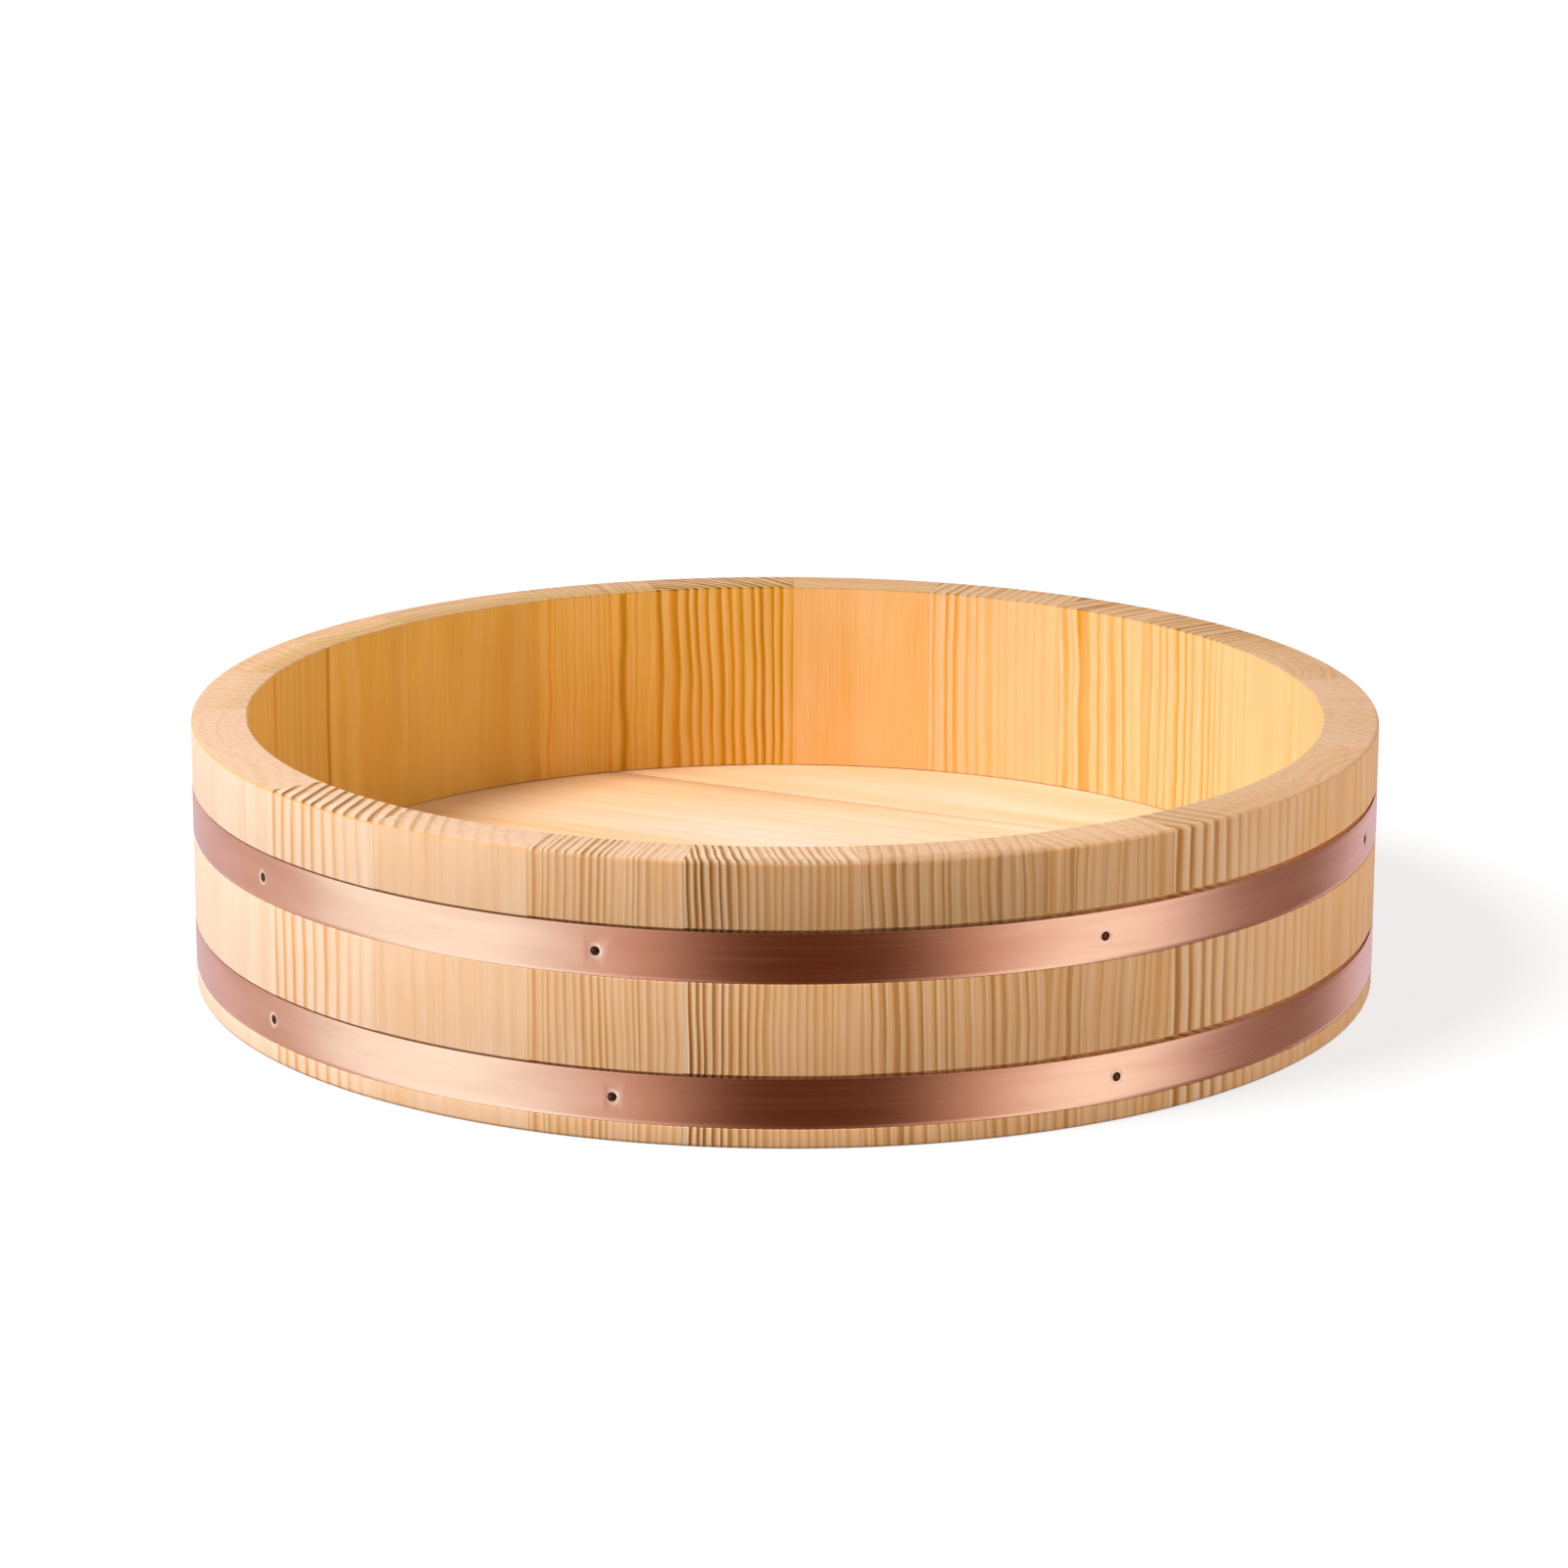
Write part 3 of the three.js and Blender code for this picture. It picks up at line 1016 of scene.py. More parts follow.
def close_up(mesh: bpy.types.Mesh, sharp: float) -> None:
    """Merges doubles, turns faces outwards and smooths all but the sharp edges.

    Args:
        mesh: The mesh.
        sharp: The angle, in degrees, past which an edge stays sharp.
    """
    work = bmesh.new()
    work.from_mesh(mesh)
    bmesh.ops.remove_doubles(work, verts=work.verts, dist=ONE_POINT)
    bmesh.ops.recalc_face_normals(work, faces=work.faces)
    work.to_mesh(mesh)
    work.free()
    mesh.polygons.foreach_set("use_smooth", [True] * len(mesh.polygons))
    mesh.set_sharp_from_angle(angle=math.radians(sharp))


def hand_over(piece: Piece, slot: str, *nodes: str) -> None:
    """Ties a finished piece to the tub's body and hides the nodes that it stands for.

    Args:
        piece: The piece.
        slot: Its material slot; not used.
        nodes: The nodes that it stands for.
    """
    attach(piece, BODY)
    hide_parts(*nodes)
    log.info("%s stands for %d node(s), %d faces", piece.name, len(nodes), len(piece.data.polygons))


class NodeTool:
    """A tool made of nodes, which turns a marked-out piece into a plain mesh.

    Attributes:
        title: Name of its node tree.
    """

    title = ""

    def lay_out(self, bench: NodeBench) -> None:
        """Puts the tool's nodes into its empty tree."""
        raise NotImplementedError

    def work(self, piece: Piece, inputs: Inputs) -> None:
        """Works on a piece.

        Args:
            piece: The piece.
            inputs: What the tool is set to, by the names of its inputs.
        """
        tree = bpy.data.node_groups.get(self.title)
        if tree is None:
            tree = bpy.data.node_groups.new(self.title, "GeometryNodeTree")
            self.lay_out(NodeBench(tree))
        identifiers = {item.name: item.identifier for item in tree.interface.items_tree}
        tool = piece.modifiers.new(self.title, "NODES")
        tool.node_group = tree
        for name, value in inputs.items():
            tool[identifiers[name]] = value
        make_plain(piece)


@dataclass
class SectionSweep(NodeTool):
    """Carries a flat section round the tub, as a spokeshave or a roller would.

    Attributes:
        title: Name of its node tree.
        radius: Radius of the circle that the section's zero follows, in metres.
        rise: How far the end of the sweep steps out over its start.
        joggle: The turn over which it steps out.
    """

    title = "section round the tub"

    radius: float
    rise: float = 0.0
    joggle: float = 0.1

    def lay_out(self, bench: NodeBench) -> None:
        """Puts in the nodes: a straight bar with eased ends, which is then bent round.

        Args:
            bench: Where the nodes go.
        """
        bench.sockets("Geometry", "Section")
        bench.sockets("Float", "Radius", "Start", "Turn", "Arris", "Rise", "Joggle")
        bench.sockets("Int", "Steps")
        bench.sockets("Material", "Material")
        bench.sockets("Geometry", "Body", output=True)
        given = bench.given()
        upward = bench.node(
            "GeometryNodeTransform", {"Geometry": given["Section"], "Scale": (1.0, -1.0, 1.0)}
        )
        section = bench.node("GeometryNodeMeshToCurve", {"Mesh": upward.outputs[0]})
        marked = bench.node("GeometryNodeCaptureAttribute", {"Geometry": section.outputs[0]})
        marked.capture_items.new("VECTOR", "Square")
        bench.feed(marked.inputs["Square"], bench.node("GeometryNodeInputNormal").outputs["Normal"])
        points = bench.node(
            "GeometryNodeMeshLine", {"Count": given["Steps"] + 3.0, "Offset": (1.0, 0.0, 0.0)}
        )
        path = bench.node("GeometryNodeMeshToCurve", {"Mesh": points.outputs[0]})
        upright = bench.node("GeometryNodeSetCurveNormal", {"Curve": path.outputs[0]}, mode="Z_UP")
        bar = bench.node(
            "GeometryNodeCurveToMesh",
            {"Curve": upright.outputs[0], "Profile Curve": marked.outputs["Geometry"], "Fill Caps": True},
        )
        place = self.bend(bench, given, marked.outputs["Square"])
        bent = bench.node("GeometryNodeSetPosition", {"Geometry": bar.outputs[0], "Position": place})
        bench.body("Body", bent.outputs[0], given["Material"])

    @staticmethod
    def bend(bench: NodeBench, given: dict[str, Wire], square: Socket) -> Wire:
        """Adds the sums that bend a straight bar round the tub.

        Args:
            bench: Where the nodes go.
            given: The tree's inputs.
            square: The direction square to the section's outline.

        Returns:
            The place of each point of the bent bar.
        """
        along, inward, height = bench.split(bench.node("GeometryNodeInputPosition").outputs[0])
        first = bench.math("LESS_THAN", along, 0.5)
        last = bench.math("GREATER_THAN", along, given["Steps"] + 1.5)
        draw_in = (first + last) * given["Arris"]
        square_out, square_up, _ = bench.split(square)
        out = square_out * draw_in - inward
        up = height - square_up * draw_in
        ease = given["Arris"] / given["Radius"]
        share = bench.math("DIVIDE", along - 1.0, given["Steps"], clamp=True)
        turned = share * (given["Turn"] - ease * 2.0) + ease * (last - first + 1.0)
        late = turned - (FULL_TURN - given["Joggle"])
        climb = bench.math("DIVIDE", late, given["Joggle"], clamp=True)
        radius = given["Radius"] + climb * given["Rise"] + out
        angle = given["Start"] + turned
        return bench.join(radius * bench.math("SINE", angle), radius * bench.math("COSINE", angle) * -1.0, up)

    def body(
        self,
        name: str,
        outline: Sequence[Vector],
        start: float,
        turn: float,
        steps: int,
        material: Material,
        arris: float = 0.0,
    ) -> Piece:
        """Sweeps a section and makes a plain mesh of it.

        Args:
            name: Name of the piece.
            outline: The section: outwards from the radius, and up.
            start: Angle at which the sweep starts.
            turn: How far it goes round.
            steps: How many steps it takes.
            material: What the piece is made of.
            arris: Width of the bevel on the edges of its two ends.

        Returns:
            The piece, linked to the scene.
        """
        count = len(outline)
        piece = mesh_piece(name, outline, [(index, (index + 1) % count) for index in range(count)])
        inputs = {"Start": start, "Turn": turn, "Steps": steps, "Arris": arris, "Material": material}
        self.work(piece, {**inputs, "Radius": self.radius, "Rise": self.rise, "Joggle": self.joggle})
        return piece


class NailRow(NodeTool):
    """Sets copies of one shape at places round the tub, each facing outwards.

    Attributes:
        title: Name of its node tree.
    """

    title = "nails round a hoop"

    def lay_out(self, bench: NodeBench) -> None:
        """Puts in the nodes, which set a shape at each point of a piece.

        Args:
            bench: Where the nodes go.
        """
        bench.sockets("Geometry", "Places")
        bench.sockets("Object", "Shape")
        bench.sockets("Material", "Material")
        bench.sockets("Geometry", "Row", output=True)
        given = bench.given()
        shape = bench.node("GeometryNodeObjectInfo", {"Object": given["Shape"], "As Instance": True})
        spot = bench.node("GeometryNodeInputPosition").outputs[0]
        outward = bench.vector("MULTIPLY", spot, (1.0, 1.0, 0.0))
        facing = bench.node("FunctionNodeAlignRotationToVector", {"Vector": outward}, axis="Z").outputs[0]
        row = bench.node(
            "GeometryNodeInstanceOnPoints",
            {"Points": given["Places"], "Instance": shape.outputs["Geometry"], "Rotation": facing},
        )
        bench.body("Row", row.outputs[0], given["Material"])

    def body(
        self, name: str, places: Sequence[Vector], shape: Piece, material: Material
    ) -> Piece:
        """Sets the shape at every place and makes one plain mesh. The shape itself goes.

        Args:
            name: Name of the piece.
            places: Where the shapes go.
            shape: The shape, along Z.
            material: What it is made of.

        Returns:
            The piece, linked to the scene.
        """
        piece = mesh_piece(name, places)
        self.work(piece, {"Shape": shape, "Material": material})
        bpy.data.objects.remove(shape)
        return piece


@dataclass
class StaveWall:
    """The wall of staves, glued edge to edge.

    Attributes:
        outer_radius: Radius of the outer face.
        thickness: Thickness of the wall.
        height: Height of the wall.
        rim_round: Rounding of the outer rim and foot edges.
        inner_round: Rounding of the inner ones.
        joint: Gap left at a joint.
        arris: Bevel on the long edges of a stave.
        bed_depth: Depth of a hoop's bed.
        bed_above: Room above a hoop in its bed, at the front.
        uneven: By what share that room is larger on the right, and smaller on the left.
        quirk: Depth of that room, where the bed is cut in behind the hoop's edge.
        bed_below: Room below it.
        bed_round: Rounding of a bed's edges.
        groove_depth: Depth of the floor groove.
        groove_above: Room above the floor in its groove.
        groove_below: Room below it.
        steps: Steps round the outer face of a stave.
    """

    outer_radius: float = 180 * MM
    thickness: float = 16.7 * MM
    height: float = 82 * MM
    rim_round: float = 1.2 * MM
    inner_round: float = 0.5 * MM
    joint: float = 0.02 * MM
    arris: float = 0.05 * MM
    bed_depth: float = 0.8 * MM
    bed_above: float = 0.95 * MM
    uneven: float = 0.75
    quirk: float = 1.75 * MM
    bed_below: float = 0.12 * MM
    bed_round: float = 0.3 * MM
    groove_depth: float = 5 * MM
    groove_above: float = 0.25 * MM
    groove_below: float = 0.3 * MM
    steps: int = 10

    def outline(self, middle: float) -> list[Vector]:
        """Draws the section of a stave.

        Args:
            middle: Angle of the stave's middle.

        Returns:
            The points of the section: outwards from the outer face, and up.
        """
        inner = -self.thickness
        share = 1 + self.uneven * math.sin(middle)
        quirk = self.quirk * share
        corners = [(inner, 0.0, self.inner_round), (0.0, 0.0, self.rim_round)]
        for hoop in HOOPS:
            low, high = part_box(hoop)
            bottom, top = low.z - self.bed_below, high.z + self.bed_above * share
            corners += [
                (0.0, bottom, self.bed_round),
                (-self.bed_depth, bottom, 0.0),
                (-self.bed_depth, high.z, 0.0),
                (-quirk, high.z, 0.0),
                (-quirk, top, 0.0),
                (0.0, top, self.bed_round),
            ]
        low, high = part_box("floor_board_1")
        back = inner + self.groove_depth
        corners += [
            (0.0, self.height, self.rim_round),
            (inner, self.height, self.inner_round),
            (inner, high.z + self.groove_above, 0.0),
            (back, high.z + self.groove_above, 0.0),
            (back, low.z - self.groove_below, 0.0),
            (inner, low.z - self.groove_below, 0.0),
        ]
        return rounded_outline(corners)

    def span(self, node: str) -> tuple[float, float]:
        """Finds the middle of a stave and half its turn.

        Args:
            node: The stave's node.

        Returns:
            The angle of its middle and half of the angle that it takes.
        """
        points = points_of(node)
        middle = angle_of(sum(points, Vector()))
        turns = [angle_of(Matrix.Rotation(-middle, 3, "Z") @ point) for point in points]
        return middle + (max(turns) + min(turns)) / 2, (max(turns) - min(turns)) / 2

    def build(self, wood: PlanedSoftwood) -> None:
        """Makes every stave.

        Args:
            wood: Their finish.
        """
        sweep = SectionSweep(self.outer_radius)
        nodes = nodes_like("stave_")
        spans = [self.span(node) for node in nodes]
        gap = self.joint / 2 / self.outer_radius
        for index, (node, grain) in enumerate(zip(nodes, STAVE_GRAINS)):
            middle, _ = spans[index]
            before, after = spans[index - 1], spans[(index + 1) % len(spans)]
            start = self.joint_angle(before, spans[index]) + gap
            end = self.joint_angle(spans[index], after) - gap
            start, end = (middle + math.remainder(angle - middle, FULL_TURN) for angle in (start, end))
            billet = self.billet(middle, end - start, index + 1)
            material = wood.material(f"{node} softwood", billet, grain)
            outline = self.outline(middle)
            piece = sweep.body(f"{node}_wood", outline, start, end - start, self.steps, material, self.arris)
            hand_over(piece, "stave_wood", node)

    def billet(self, middle: float, turn: float, seed: int) -> Billet:
        """Finds where a stave lay in its log.

        Args:
            middle: Angle of the stave's middle.
            turn: The angle that it takes.
            seed: Which stretch of the log it comes from.

        Returns:
            Its place in the log.
        """
        half_length = self.height / 2 / MM
        half_width = turn / 2 * self.outer_radius / MM
        to_front = Matrix.Rotation(-middle, 4, "Z")
        place = Matrix.Translation((0, self.outer_radius / MM, -half_length)) @ to_front
        return Billet(place, half_width, half_length, self.thickness / MM, seed * LOG_STEP)

    @staticmethod
    def joint_angle(left: tuple[float, float], right: tuple[float, float]) -> float:
        """Finds the joint between two neighbouring staves.

        Args:
            left: The middle of the left one and half its turn.
            right: The same for the right one.

        Returns:
            The joint's angle.
        """
        end = left[0] + left[1]
        start = right[0] - right[1]
        return start + math.remainder(end - start, FULL_TURN) / 2


@dataclass
class BoardFloor:
    """The floor of boards, with bamboo pins across their joints.

    Attributes:
        direction: The way that the boards run, as a turn about the tub's axis.
        arris: Bevel on the edges of a board.
        glue: How far the glue line between two boards fills their joint, from each side.
        touch: How near to a board's side its points count as lying on it.
        long_edge: Length over which an edge is one of the long ones.
        flat: Angle, in degrees, under which two faces of a board are one.
        sharp: Angle, in degrees, past which an edge stays sharp.
        first_seed: Which stretch of the log the first board comes from.
        grains: How the growth lines of each board run.
    """

    direction: float = math.radians(-26.5)
    arris: float = 0.03 * MM
    glue: float = 0.09 * MM
    touch: float = 0.02 * MM
    long_edge: float = 50 * MM
    flat: float = 0.5
    sharp: float = 30.0
    first_seed: int = 41
    grains: tuple[StaveGrain, ...] = (
        StaveGrain(Sawing.HEART_INSIDE, 5.6, 0.08, 0.08, 1.10, 1.2, cloud=0.2, wave=1.5),
        StaveGrain(Sawing.HEART_OUTSIDE, 6.2, 0.08, 0.07, 1.08, 1.2, cloud=0.2, wave=1.5),
        # Deeper paints shade and warm bounce light at the left ends of boards 3, 4 and 5.
        StaveGrain(Sawing.HEART_INSIDE, 5.8, 0.07, 0.08, 1.30, 1.2, cloud=0.25, wave=1.5, deeper=0.35),
        # Board 4's broad pale band, a bold line below 0, is painted light: the brighter lit part of the floor
        # near the front.
        StaveGrain(
            Sawing.RIFT_LEFT, 7.0, 0.06, 0.07, 1.32, 1.2,
            cloud=0.25, wave=1.5, bold=-0.10, bold_at=-21.0, bold_width=20.0, deeper=0.4,
        ),
        StaveGrain(
            Sawing.HEART_OUTSIDE, 5.6, 0.06, 0.06, 1.32, 1.2,
            cloud=0.25, wave=1.5, bold=0.06, bold_at=-27.5, bold_width=9.0, deeper=0.4,
        ),
    )

    def build(self, wood: PlanedSoftwood, bamboo: SplitBamboo) -> None:
        """Makes the boards and dresses the pins.

        Args:
            wood: Finish of the boards.
            bamboo: Finish of the pins.
        """
        for index, (node, grain) in enumerate(zip(nodes_like("floor_board_"), self.grains)):
            piece = self.board(node)
            billet = self.billet(node, index + self.first_seed)
            piece.data.materials.clear()
            piece.data.materials.append(wood.material(f"{node} softwood", billet, grain))
            hand_over(piece, "floor_wood", node)
        pin = bamboo.material(self.direction)
        for node in nodes_like("floor_pin_"):
            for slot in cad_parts[node].material_slots:
                slot.material = pin
            log.info("%s is dressed in bamboo", node)

    def billet(self, node: str, seed: int) -> Billet:
        """Finds where a board lay in its log, with the grain along the board.

        Args:
            node: The board's node.
            seed: Which stretch of the log it comes from.

        Returns:
            Its place in the log.
        """
        turn = Matrix.Rotation(-self.direction, 4, "Z")
        points = [turn @ point / MM for point in points_of(node)]
        low, high = min(point.y for point in points), max(point.y for point in points)
        bottom, top = min(point.z for point in points), max(point.z for point in points)
        along_log = Matrix(((0, 1, 0, -(low + high) / 2), (0, 0, -1, top), (1, 0, 0, 0), (0, 0, 0, 1)))
        half_length = max(abs(point.x) for point in points)
        return Billet(along_log @ turn, (high - low) / 2, half_length, top - bottom, seed * LOG_STEP)

    def board(self, node: str) -> Piece:
        """Makes a board from its node, with eased edges.

        Args:
            node: The board's node.

        Returns:
            The piece, linked to the scene.
        """
        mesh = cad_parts[node].data.copy()
        mesh.name = f"{node}_wood"
        piece = link(mesh.name, mesh)
        work = bmesh.new()
        work.from_mesh(mesh)
        bmesh.ops.remove_doubles(work, verts=work.verts, dist=10 * ONE_POINT)
        flat = math.radians(self.flat)
        bmesh.ops.dissolve_limit(work, angle_limit=flat, verts=work.verts, edges=work.edges)
        along = Vector((math.cos(self.direction), math.sin(self.direction), 0))
        across = Vector((-along.y, along.x, 0))
        reaches = [vertex.co.dot(across) for vertex in work.verts]
        for end, side in ((min(reaches), -1.0), (max(reaches), 1.0)):
            for vertex, reach in zip(work.verts, reaches):
                if abs(reach - end) < self.touch:
                    vertex.co += across * (side * self.glue)
        edges = [edge for edge in work.edges if self.is_long_edge(edge, along)]
        bmesh.ops.bevel(work, geom=edges, offset=self.arris, segments=2, profile=0.5, affect="EDGES")
        work.to_mesh(mesh)
        work.free()
        close_up(mesh, self.sharp)
        return piece

    def is_long_edge(self, edge: bmesh.types.BMEdge, along: Vector) -> bool:
        """Tells whether an edge runs the length of a board's joint."""
        run = edge.verts[1].co - edge.verts[0].co
        return run.length > self.long_edge and abs(run.normalized().dot(along)) > 0.999


@dataclass
class CopperHoops:
    """The two hoops of copper strip, each lapped at the back and nailed to the staves.

    Attributes:
        inner_radius: Radius of the inner face.
        thickness: Thickness of the strip.
        lap_middle: Angle of the middle of the lap.
        lap_length: Length of the lap.
        lap_gap: Gap between the lapped ends.
        joggle: Length over which the outer end steps up.
        edge_ease: How far in from its edges the outer face starts to turn away.
        edge_fall: How far it has turned away at the edge.
        rounds: Rounding of the inner edge, of the outer edge and of the line where the face turns away.
        dimple: Radius and depth of each step of a nail's dimple, from its mouth to its bottom.
        dimple_sides: Number of sides of a dimple.
        sharp: Angle, in degrees, past which an edge stays sharp.
        steps: Steps round the hoop.
    """

    inner_radius: float = 179.5 * MM
    thickness: float = 0.6 * MM
    lap_middle: float = math.radians(163)
    lap_length: float = 32 * MM
    lap_gap: float = 0.3 * MM
    joggle: float = 9 * MM
    edge_ease: float = 1.1 * MM
    edge_fall: float = 0.28 * MM
    rounds: tuple[float, float, float] = (0.06 * MM, 0.1 * MM, 1.5 * MM)
    dimple: tuple[tuple[float, float], ...] = (
        (2.5 * MM, 0.0),
        (2.1 * MM, 0.04 * MM),
        (1.7 * MM, 0.08 * MM),
        (1.35 * MM, 0.12 * MM),
    )
    dimple_sides: int = 24
    sharp: float = 15.0
    steps: int = 392

    def outline(self, bottom: float, top: float) -> list[Vector]:
        """Draws the section of the strip.

        Args:
            bottom: Height of its lower edge.
            top: Height of its upper edge.

        Returns:
            The points of the section: outwards from the inner face, and up.
        """
        face, edge = self.thickness, self.thickness - self.edge_fall
        inner_round, outer_round, face_round = self.rounds
        return rounded_outline([
            (0.0, bottom, inner_round),
            (edge, bottom, outer_round),
            (face, bottom + self.edge_ease, face_round),
            (face, top - self.edge_ease, face_round),
            (edge, top, outer_round),
            (0.0, top, inner_round),
        ])

    def build(self, copper: BrushedCopper, nail_copper: DulledCopper) -> None:
        """Makes both hoops and their nails.

        Args:
            copper: Finish of the strip.
            nail_copper: Finish of the nails.
        """
        lap_turn = self.lap_length / self.inner_radius
        start = self.lap_middle - lap_turn / 2
        strip = copper.material(self.inner_radius, self.lap_middle + lap_turn / 2)
        struck = copper.struck()
        dark = nail_copper.material()
        rise, joggle = self.thickness + self.lap_gap, self.joggle / self.inner_radius
        sweep = SectionSweep(self.inner_radius, rise, joggle)
        for hoop in HOOPS:
            low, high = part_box(hoop)
            outline = self.outline(low.z, high.z)
            band = sweep.body(f"{hoop}_strip", outline, start, FULL_TURN + lap_turn, self.steps, strip)
            nodes = nodes_like(f"{hoop}_nail_")
            places = [self.nail_place(node) for node in nodes]
            self.sink_dimples(band, places, struck)
            hand_over(band, "copper_hoop", hoop)
            nails = HoopNails().body(f"{hoop}_nails", places, dark)
            hand_over(nails, "copper_nail", *nodes)

    @staticmethod
    def nail_place(node: str) -> Vector:
        """Finds the middle of the top of a nail's head.

        Args:
            node: The nail's node.

        Returns:
            The place.
        """
        low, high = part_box(node)
        angle = angle_of((low + high) / 2)
        outward = round_the_tub(1.0, angle, 0.0)
        reach = max(point.dot(outward) for point in points_of(node))
        return round_the_tub(reach, angle, (low.z + high.z) / 2)

    def sink_dimples(self, band: Piece, places: Sequence[Vector], struck: Material) -> None:
        """Sinks a dimple with a hole at every nail.

        Args:
            band: The hoop.
            places: The tops of the nails' heads.
            struck: Finish of the dimples, partly a painted highlight.
        """
        sink = HoopNails().sink
        (mouth, _), (lip, drop) = self.dimple[:2]
        outline = [(0.0, drop), (2 * mouth - lip, drop)]
        outline += [(radius, -depth) for radius, depth in self.dimple[1:]]
        outline += [(self.dimple[-1][0], -2 * self.thickness), (0.0, -2 * self.thickness)]
        cutter = lathe("dimple_cutter", outline, self.dimple_sides)
        mouths = [self.raised(place, sink) for place in places]
        cutters = NailRow().body("dimple_cutters", mouths, cutter, struck)
        cut = band.modifiers.new("dimples", "BOOLEAN")
        cut.operation = "DIFFERENCE"
        cut.solver = "EXACT"
        cut.material_mode = "TRANSFER"
        cut.object = cutters
        make_plain(band, self.sharp)
        bpy.data.objects.remove(cutters)

    @staticmethod
    def raised(place: Vector, distance: float) -> Vector:
        """Moves a place outwards from the tub's axis."""
        return place + Vector((place.x, place.y, 0)).normalized() * distance


def lathe(name: str, outline: Sequence[tuple[float, float]], sides: int) -> Piece:
    """Turns an outline into a round solid about Z.

    Args:
        name: Name of the object.
        outline: Radius and height of each point, from the axis back to the axis.
        sides: Number of sides.

    Returns:
        The object, linked to the scene.
    """
    work = bmesh.new()
    chain = [work.verts.new((radius, 0, height)) for radius, height in outline]
    edges = [work.edges.new(pair) for pair in zip(chain, chain[1:])]
    bmesh.ops.spin(
        work, geom=chain + edges, axis=(0, 0, 1), cent=(0, 0, 0), steps=sides, angle=FULL_TURN, use_merge=True
    )
    bmesh.ops.remove_doubles(work, verts=work.verts, dist=ONE_POINT)
    bmesh.ops.recalc_face_normals(work, faces=work.faces)
    turned = mesh_piece(name, [])
    work.to_mesh(turned.data)
    work.free()
    return turned


@dataclass
class HoopNails:
    """The nails of a hoop, each sunk below the face of the strip.

    Attributes:
        head_radius: Radius of the head.
        head_height: Height of the head.
        crown: How far the middle of the head stands up above its edge.
        crown_steps: Where the points of the crown lie, as shares of the head's radius.
        lift: How far the middle of the head stands out beyond its node.
        shank_radius: Radius of the shank.
        length: Whole length.
        point: Length of the point.
        sink: How far the head lies below the face of the strip.
        sides: Number of sides.
    """

    head_radius: float = 1.3 * MM
    head_height: float = 0.7 * MM
    crown: float = 0.30 * MM
    crown_steps: tuple[float, ...] = (0.0, 0.3, 0.55, 0.8, 1.0)
    lift: float = 0.20 * MM
    shank_radius: float = 0.7 * MM
    length: float = 8.0 * MM
    point: float = 2.5 * MM
    sink: float = 0.25 * MM
    sides: int = 16

    def body(self, name: str, places: Sequence[Vector], material: Material) -> Piece:
        """Makes all the nails of a hoop as one mesh.

        Args:
            name: Name of the piece.
            places: The tops of the heads.
            material: What they are made of.

        Returns:
            The piece, linked to the scene.
        """
        outline = [
            (share * self.head_radius, self.lift - share**2 * self.crown) for share in self.crown_steps
        ]
        outline += [
            (self.shank_radius, -self.head_height),
            (self.shank_radius, self.point - self.length),
            (0.0, -self.length),
        ]
        return NailRow().body(name, places, lathe("hoop_nail", outline, self.sides), material)


@dataclass(frozen=True)
class StudioPanel:
    """A pale panel or a dark gap round the tub, as the copper mirrors it.

    Attributes:
        azimuth: Its middle, from the front towards the right, in degrees.
        core: Half the width of its full strength, in degrees.
        fade: Width of its soft edge, in degrees.
        colour: Its colour.
    """

    azimuth: float
    core: float
    fade: float
    colour: Colour


@dataclass(frozen=True)
class StudioLamp:
    """A broad lamp, far off.

    Attributes:
        name: Its name.
        azimuth: Its angle from the front towards the right, in degrees.
        elevation: Its angle above the floor, in degrees.
        strength: Its strength.
        width: How wide it looks from the tub, in degrees.
    """

    name: str
    azimuth: float
    elevation: float
    strength: float
    width: float


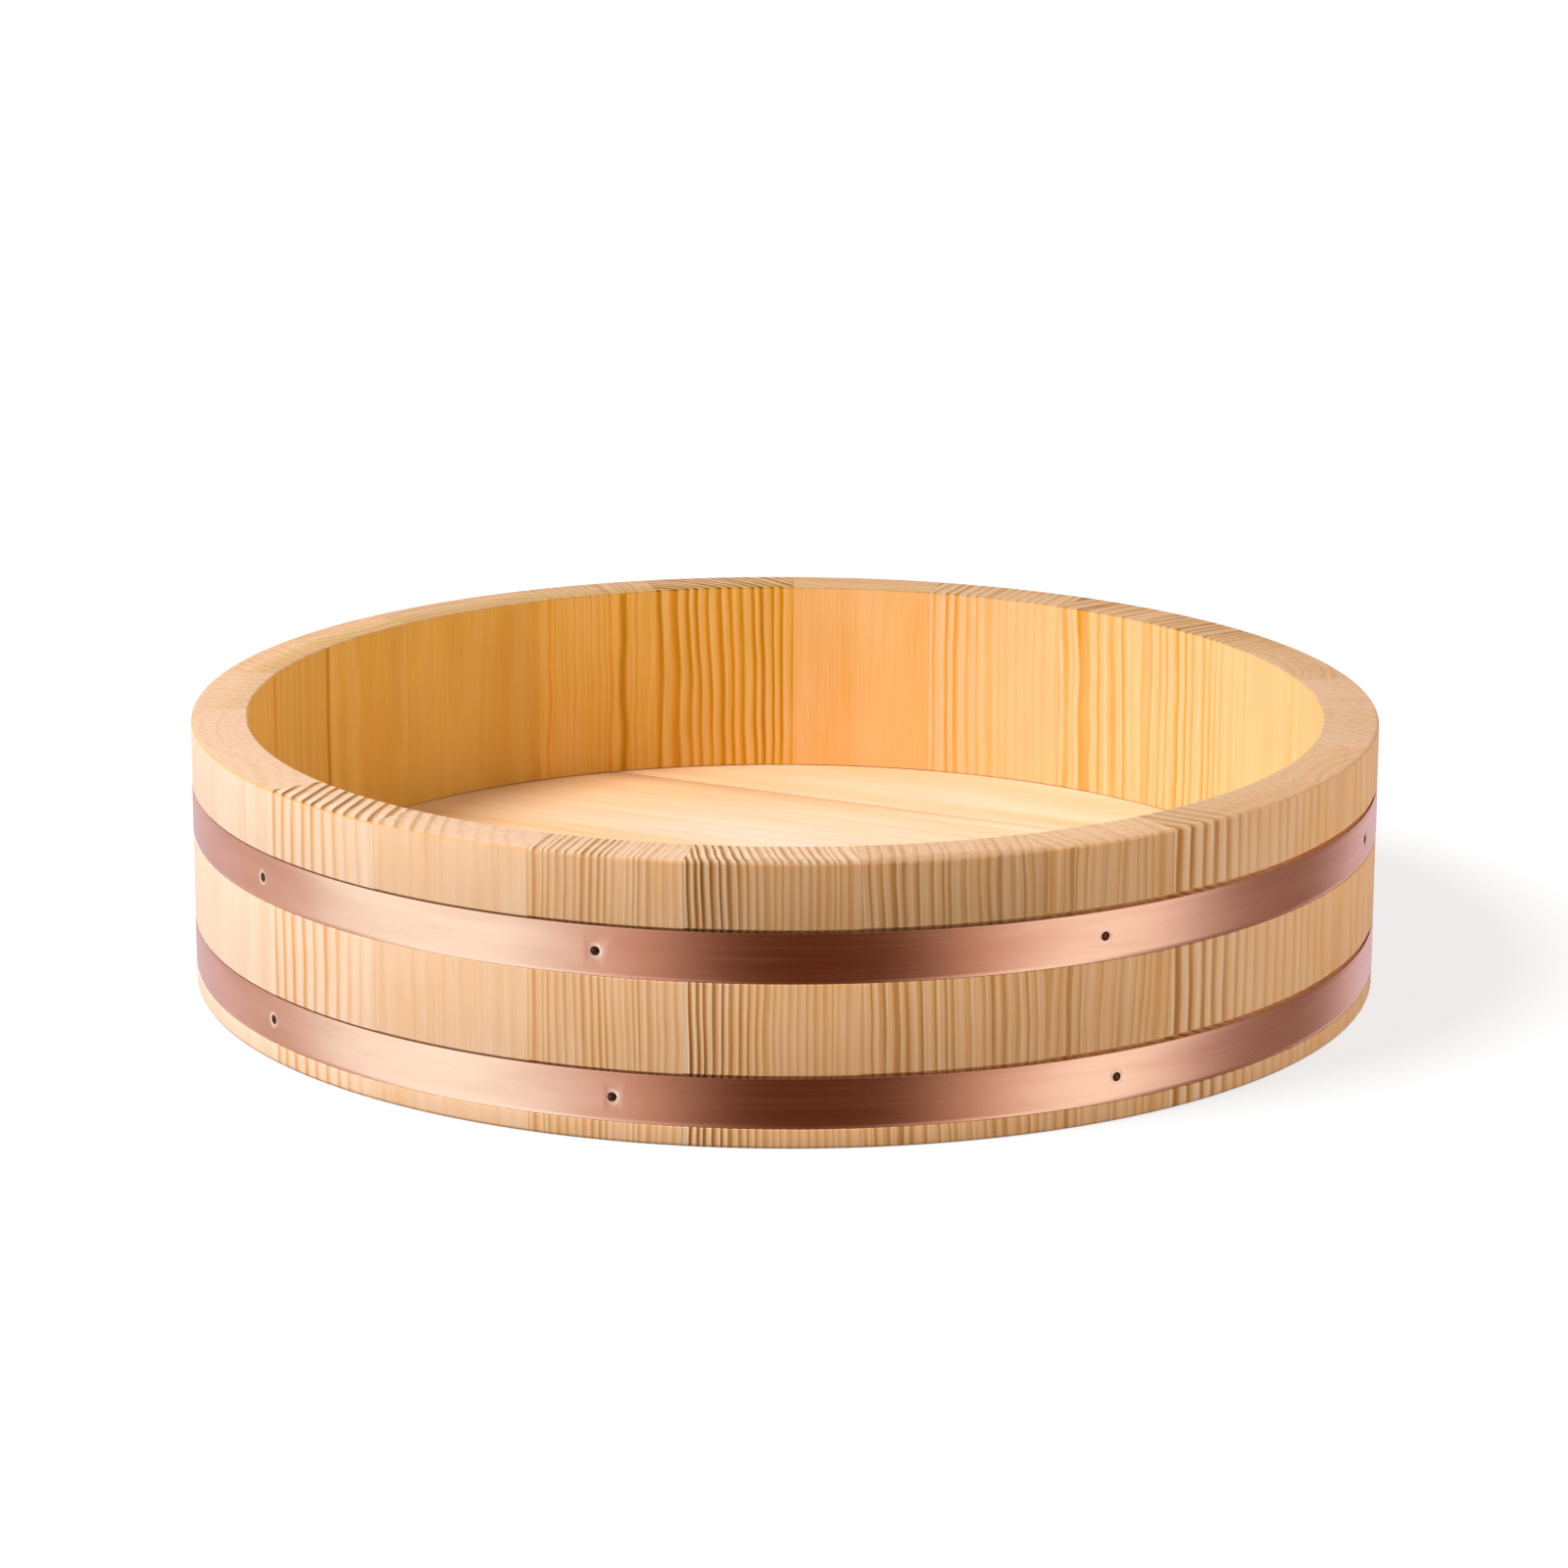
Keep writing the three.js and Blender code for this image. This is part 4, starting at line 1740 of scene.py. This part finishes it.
@dataclass
class Studio:
    """Floor, light and camera.

    Attributes:
        aim: The point that the camera looks at.
        distance: Distance of the camera from it.
        elevation: How far the camera looks down.
        roll: Turn of the camera about its own axis.
        lens: Focal length of the camera, in mm.
        sensor: Width of its sensor, in mm.
        sight: How far it sees.
        floor_half: Half the width of the floor.
        wall: Colour of the studio's walls in the copper.
        panels: What stands before the walls: a panel and shade on each side, and the dark camera side.
        lamps: The key lamp on the left and the fill lamp on the right.
        dome: Colour of the soft light from all round.
        dome_front: Its strength from the camera's side.
        dome_back: Its strength from the far side.
        dome_change: Where one gives way to the other, from -1 at the front to 1 at the back.
        floor_shade: How pale the floor is to the light that falls back from it.
        floor_white: How pale it looks.
        floor_glow: Share of its look that is plain white, without the tub's shadow.
    """

    aim: tuple[float, float, float] = (-0.27 * MM, 0.0, 56.7 * MM)
    distance: float = 1.586
    elevation: float = math.radians(14.75)
    roll: float = math.radians(0.195)
    lens: float = 119.0
    sensor: float = 36.0
    sight: float = 50.0
    floor_half: float = 6.0
    wall: Colour = (0.83, 0.72, 0.82, 1.0)
    panels: tuple[StudioPanel, ...] = (
        StudioPanel(-71, 13, 28, (1.30, 1.75, 1.98, 1.0)),
        StudioPanel(62, 4, 24, (1.30, 1.47, 1.54, 1.0)),
        StudioPanel(5.8, 24, 26, (1.0, 0.72, 0.60, 1.0)),
        StudioPanel(5.8, 13.5, 30, (0.11, 0.034, 0.008, 1.0)),
        StudioPanel(110, 7, 30, (0.30, 0.20, 0.17, 1.0)),
        StudioPanel(-117, 4, 18, (0.76, 0.66, 0.66, 1.0)),
    )
    lamps: tuple[StudioLamp, ...] = (
        StudioLamp("key_lamp", -64, 48, 3.45, 24),
        StudioLamp("fill_lamp", 86, 12, 1.5, 34),
    )
    dome: Colour = (1.0, 0.98, 0.96, 1.0)
    dome_front: float = 0.26
    dome_back: float = 0.48
    dome_change: tuple[float, float] = (-0.9, 0.6)
    floor_shade: float = 0.38
    floor_white: float = 0.90
    floor_glow: float = 0.72

    def build(self) -> None:
        """Sets up the whole studio."""
        self.lay_floor()
        self.light()
        for lamp in self.lamps:
            self.hang(lamp)
        self.place_camera()
        bpy.context.scene.view_settings.view_transform = "Standard"

    def lay_floor(self) -> None:
        """Lays a plain pale floor, which the copper doesn't mirror."""
        half = self.floor_half
        corners = [Vector((x, y, 0)) for x, y in ((-half, -half), (half, -half), (half, half), (-half, half))]
        floor = mesh_piece("studio_floor", corners, faces=[(0, 1, 2, 3)])
        floor.visible_glossy = False
        material, bench = new_material("pale floor")
        path = bench.node("ShaderNodeLightPath").outputs
        seen = bench.math("MAXIMUM", path["Is Camera Ray"], path["Is Glossy Ray"])
        seen = bench.math("MAXIMUM", seen, path["Is Transmission Ray"])
        colour = bench.blend(seen, (*(self.floor_shade,) * 3, 1.0), (*(self.floor_white,) * 3, 1.0))
        paper = bench.node("ShaderNodeBsdfDiffuse", {"Color": colour}).outputs[0]
        glow = bench.node("ShaderNodeEmission", {"Strength": 1.0}).outputs[0]
        surface = bench.node("ShaderNodeMixShader", {0: seen * self.floor_glow, 1: paper, 2: glow})
        bench.node("ShaderNodeOutputMaterial", {"Surface": surface.outputs[0]})
        floor.data.materials.append(material)

    def light(self) -> None:
        """Surrounds the tub with soft light, and shows the copper pale panels and a dark camera side."""
        world = bpy.data.worlds.new("studio")
        bpy.context.scene.world = world
        world.use_nodes = True
        bench = NodeBench(world.node_tree)
        world.node_tree.nodes.clear()
        right, back, _ = bench.split(bench.node("ShaderNodeTexCoord").outputs["Generated"])
        angle = bench.math("ARCTAN2", right, back * -1.0)
        colour = self.wall
        for panel in self.panels:
            aside = bench.math("ARCCOSINE", bench.math("COSINE", angle - math.radians(panel.azimuth)))
            inner, outer = math.radians(panel.core), math.radians(panel.core + panel.fade)
            colour = bench.blend(bench.ramp(aside, inner, outer, 1.0, 0.0), colour, panel.colour)
        mirrored = bench.node("ShaderNodeBackground", {"Color": colour, "Strength": 1.0}).outputs[0]
        fill = bench.ramp(back, *self.dome_change, self.dome_front, self.dome_back)
        dome = bench.node("ShaderNodeBackground", {"Color": self.dome, "Strength": fill}).outputs[0]
        glossy = bench.node("ShaderNodeLightPath").outputs["Is Glossy Ray"]
        sky = bench.node("ShaderNodeMixShader", {0: glossy, 1: dome, 2: mirrored})
        bench.node("ShaderNodeOutputWorld", {"Surface": sky.outputs[0]})

    @staticmethod
    def hang(lamp: StudioLamp) -> None:
        """Hangs a lamp, which the copper doesn't mirror.

        Args:
            lamp: The lamp.
        """
        sun = bpy.data.lights.new(lamp.name, "SUN")
        sun.energy = lamp.strength
        sun.angle = math.radians(lamp.width)
        hung = link(lamp.name, sun)
        flat, rise = math.cos(math.radians(lamp.elevation)), math.sin(math.radians(lamp.elevation))
        hung.location = round_the_tub(flat, math.radians(lamp.azimuth), rise)
        hung.rotation_euler = hung.location.to_track_quat("Z", "Y").to_euler()
        hung.visible_glossy = False

    def place_camera(self) -> None:
        """Sets the camera where it sees the tub as pictured."""
        data = bpy.data.cameras.new("camera")
        data.sensor_width = self.sensor
        data.lens = self.lens
        data.clip_end = self.sight
        forward = Vector((0, math.cos(self.elevation), -math.sin(self.elevation)))
        right = Vector((1, 0, 0))
        up = right.cross(forward)
        across = right * math.cos(self.roll) + up * math.sin(self.roll)
        upward = up * math.cos(self.roll) - right * math.sin(self.roll)
        turn = Matrix((across, upward, -forward)).transposed().to_4x4()
        camera = link("camera", data)
        camera.matrix_world = Matrix.Translation(Vector(self.aim) - forward * self.distance) @ turn
        bpy.context.scene.camera = camera


def main() -> None:
    """Builds the tub's looks and the studio round it."""
    logging.basicConfig(level=logging.INFO, format="%(message)s")
    wood = PlanedSoftwood()
    StaveWall().build(wood)
    BoardFloor().build(wood, SplitBamboo())
    CopperHoops().build(BrushedCopper(), DulledCopper())
    Studio().build()


if __name__ == "__main__":
    main()
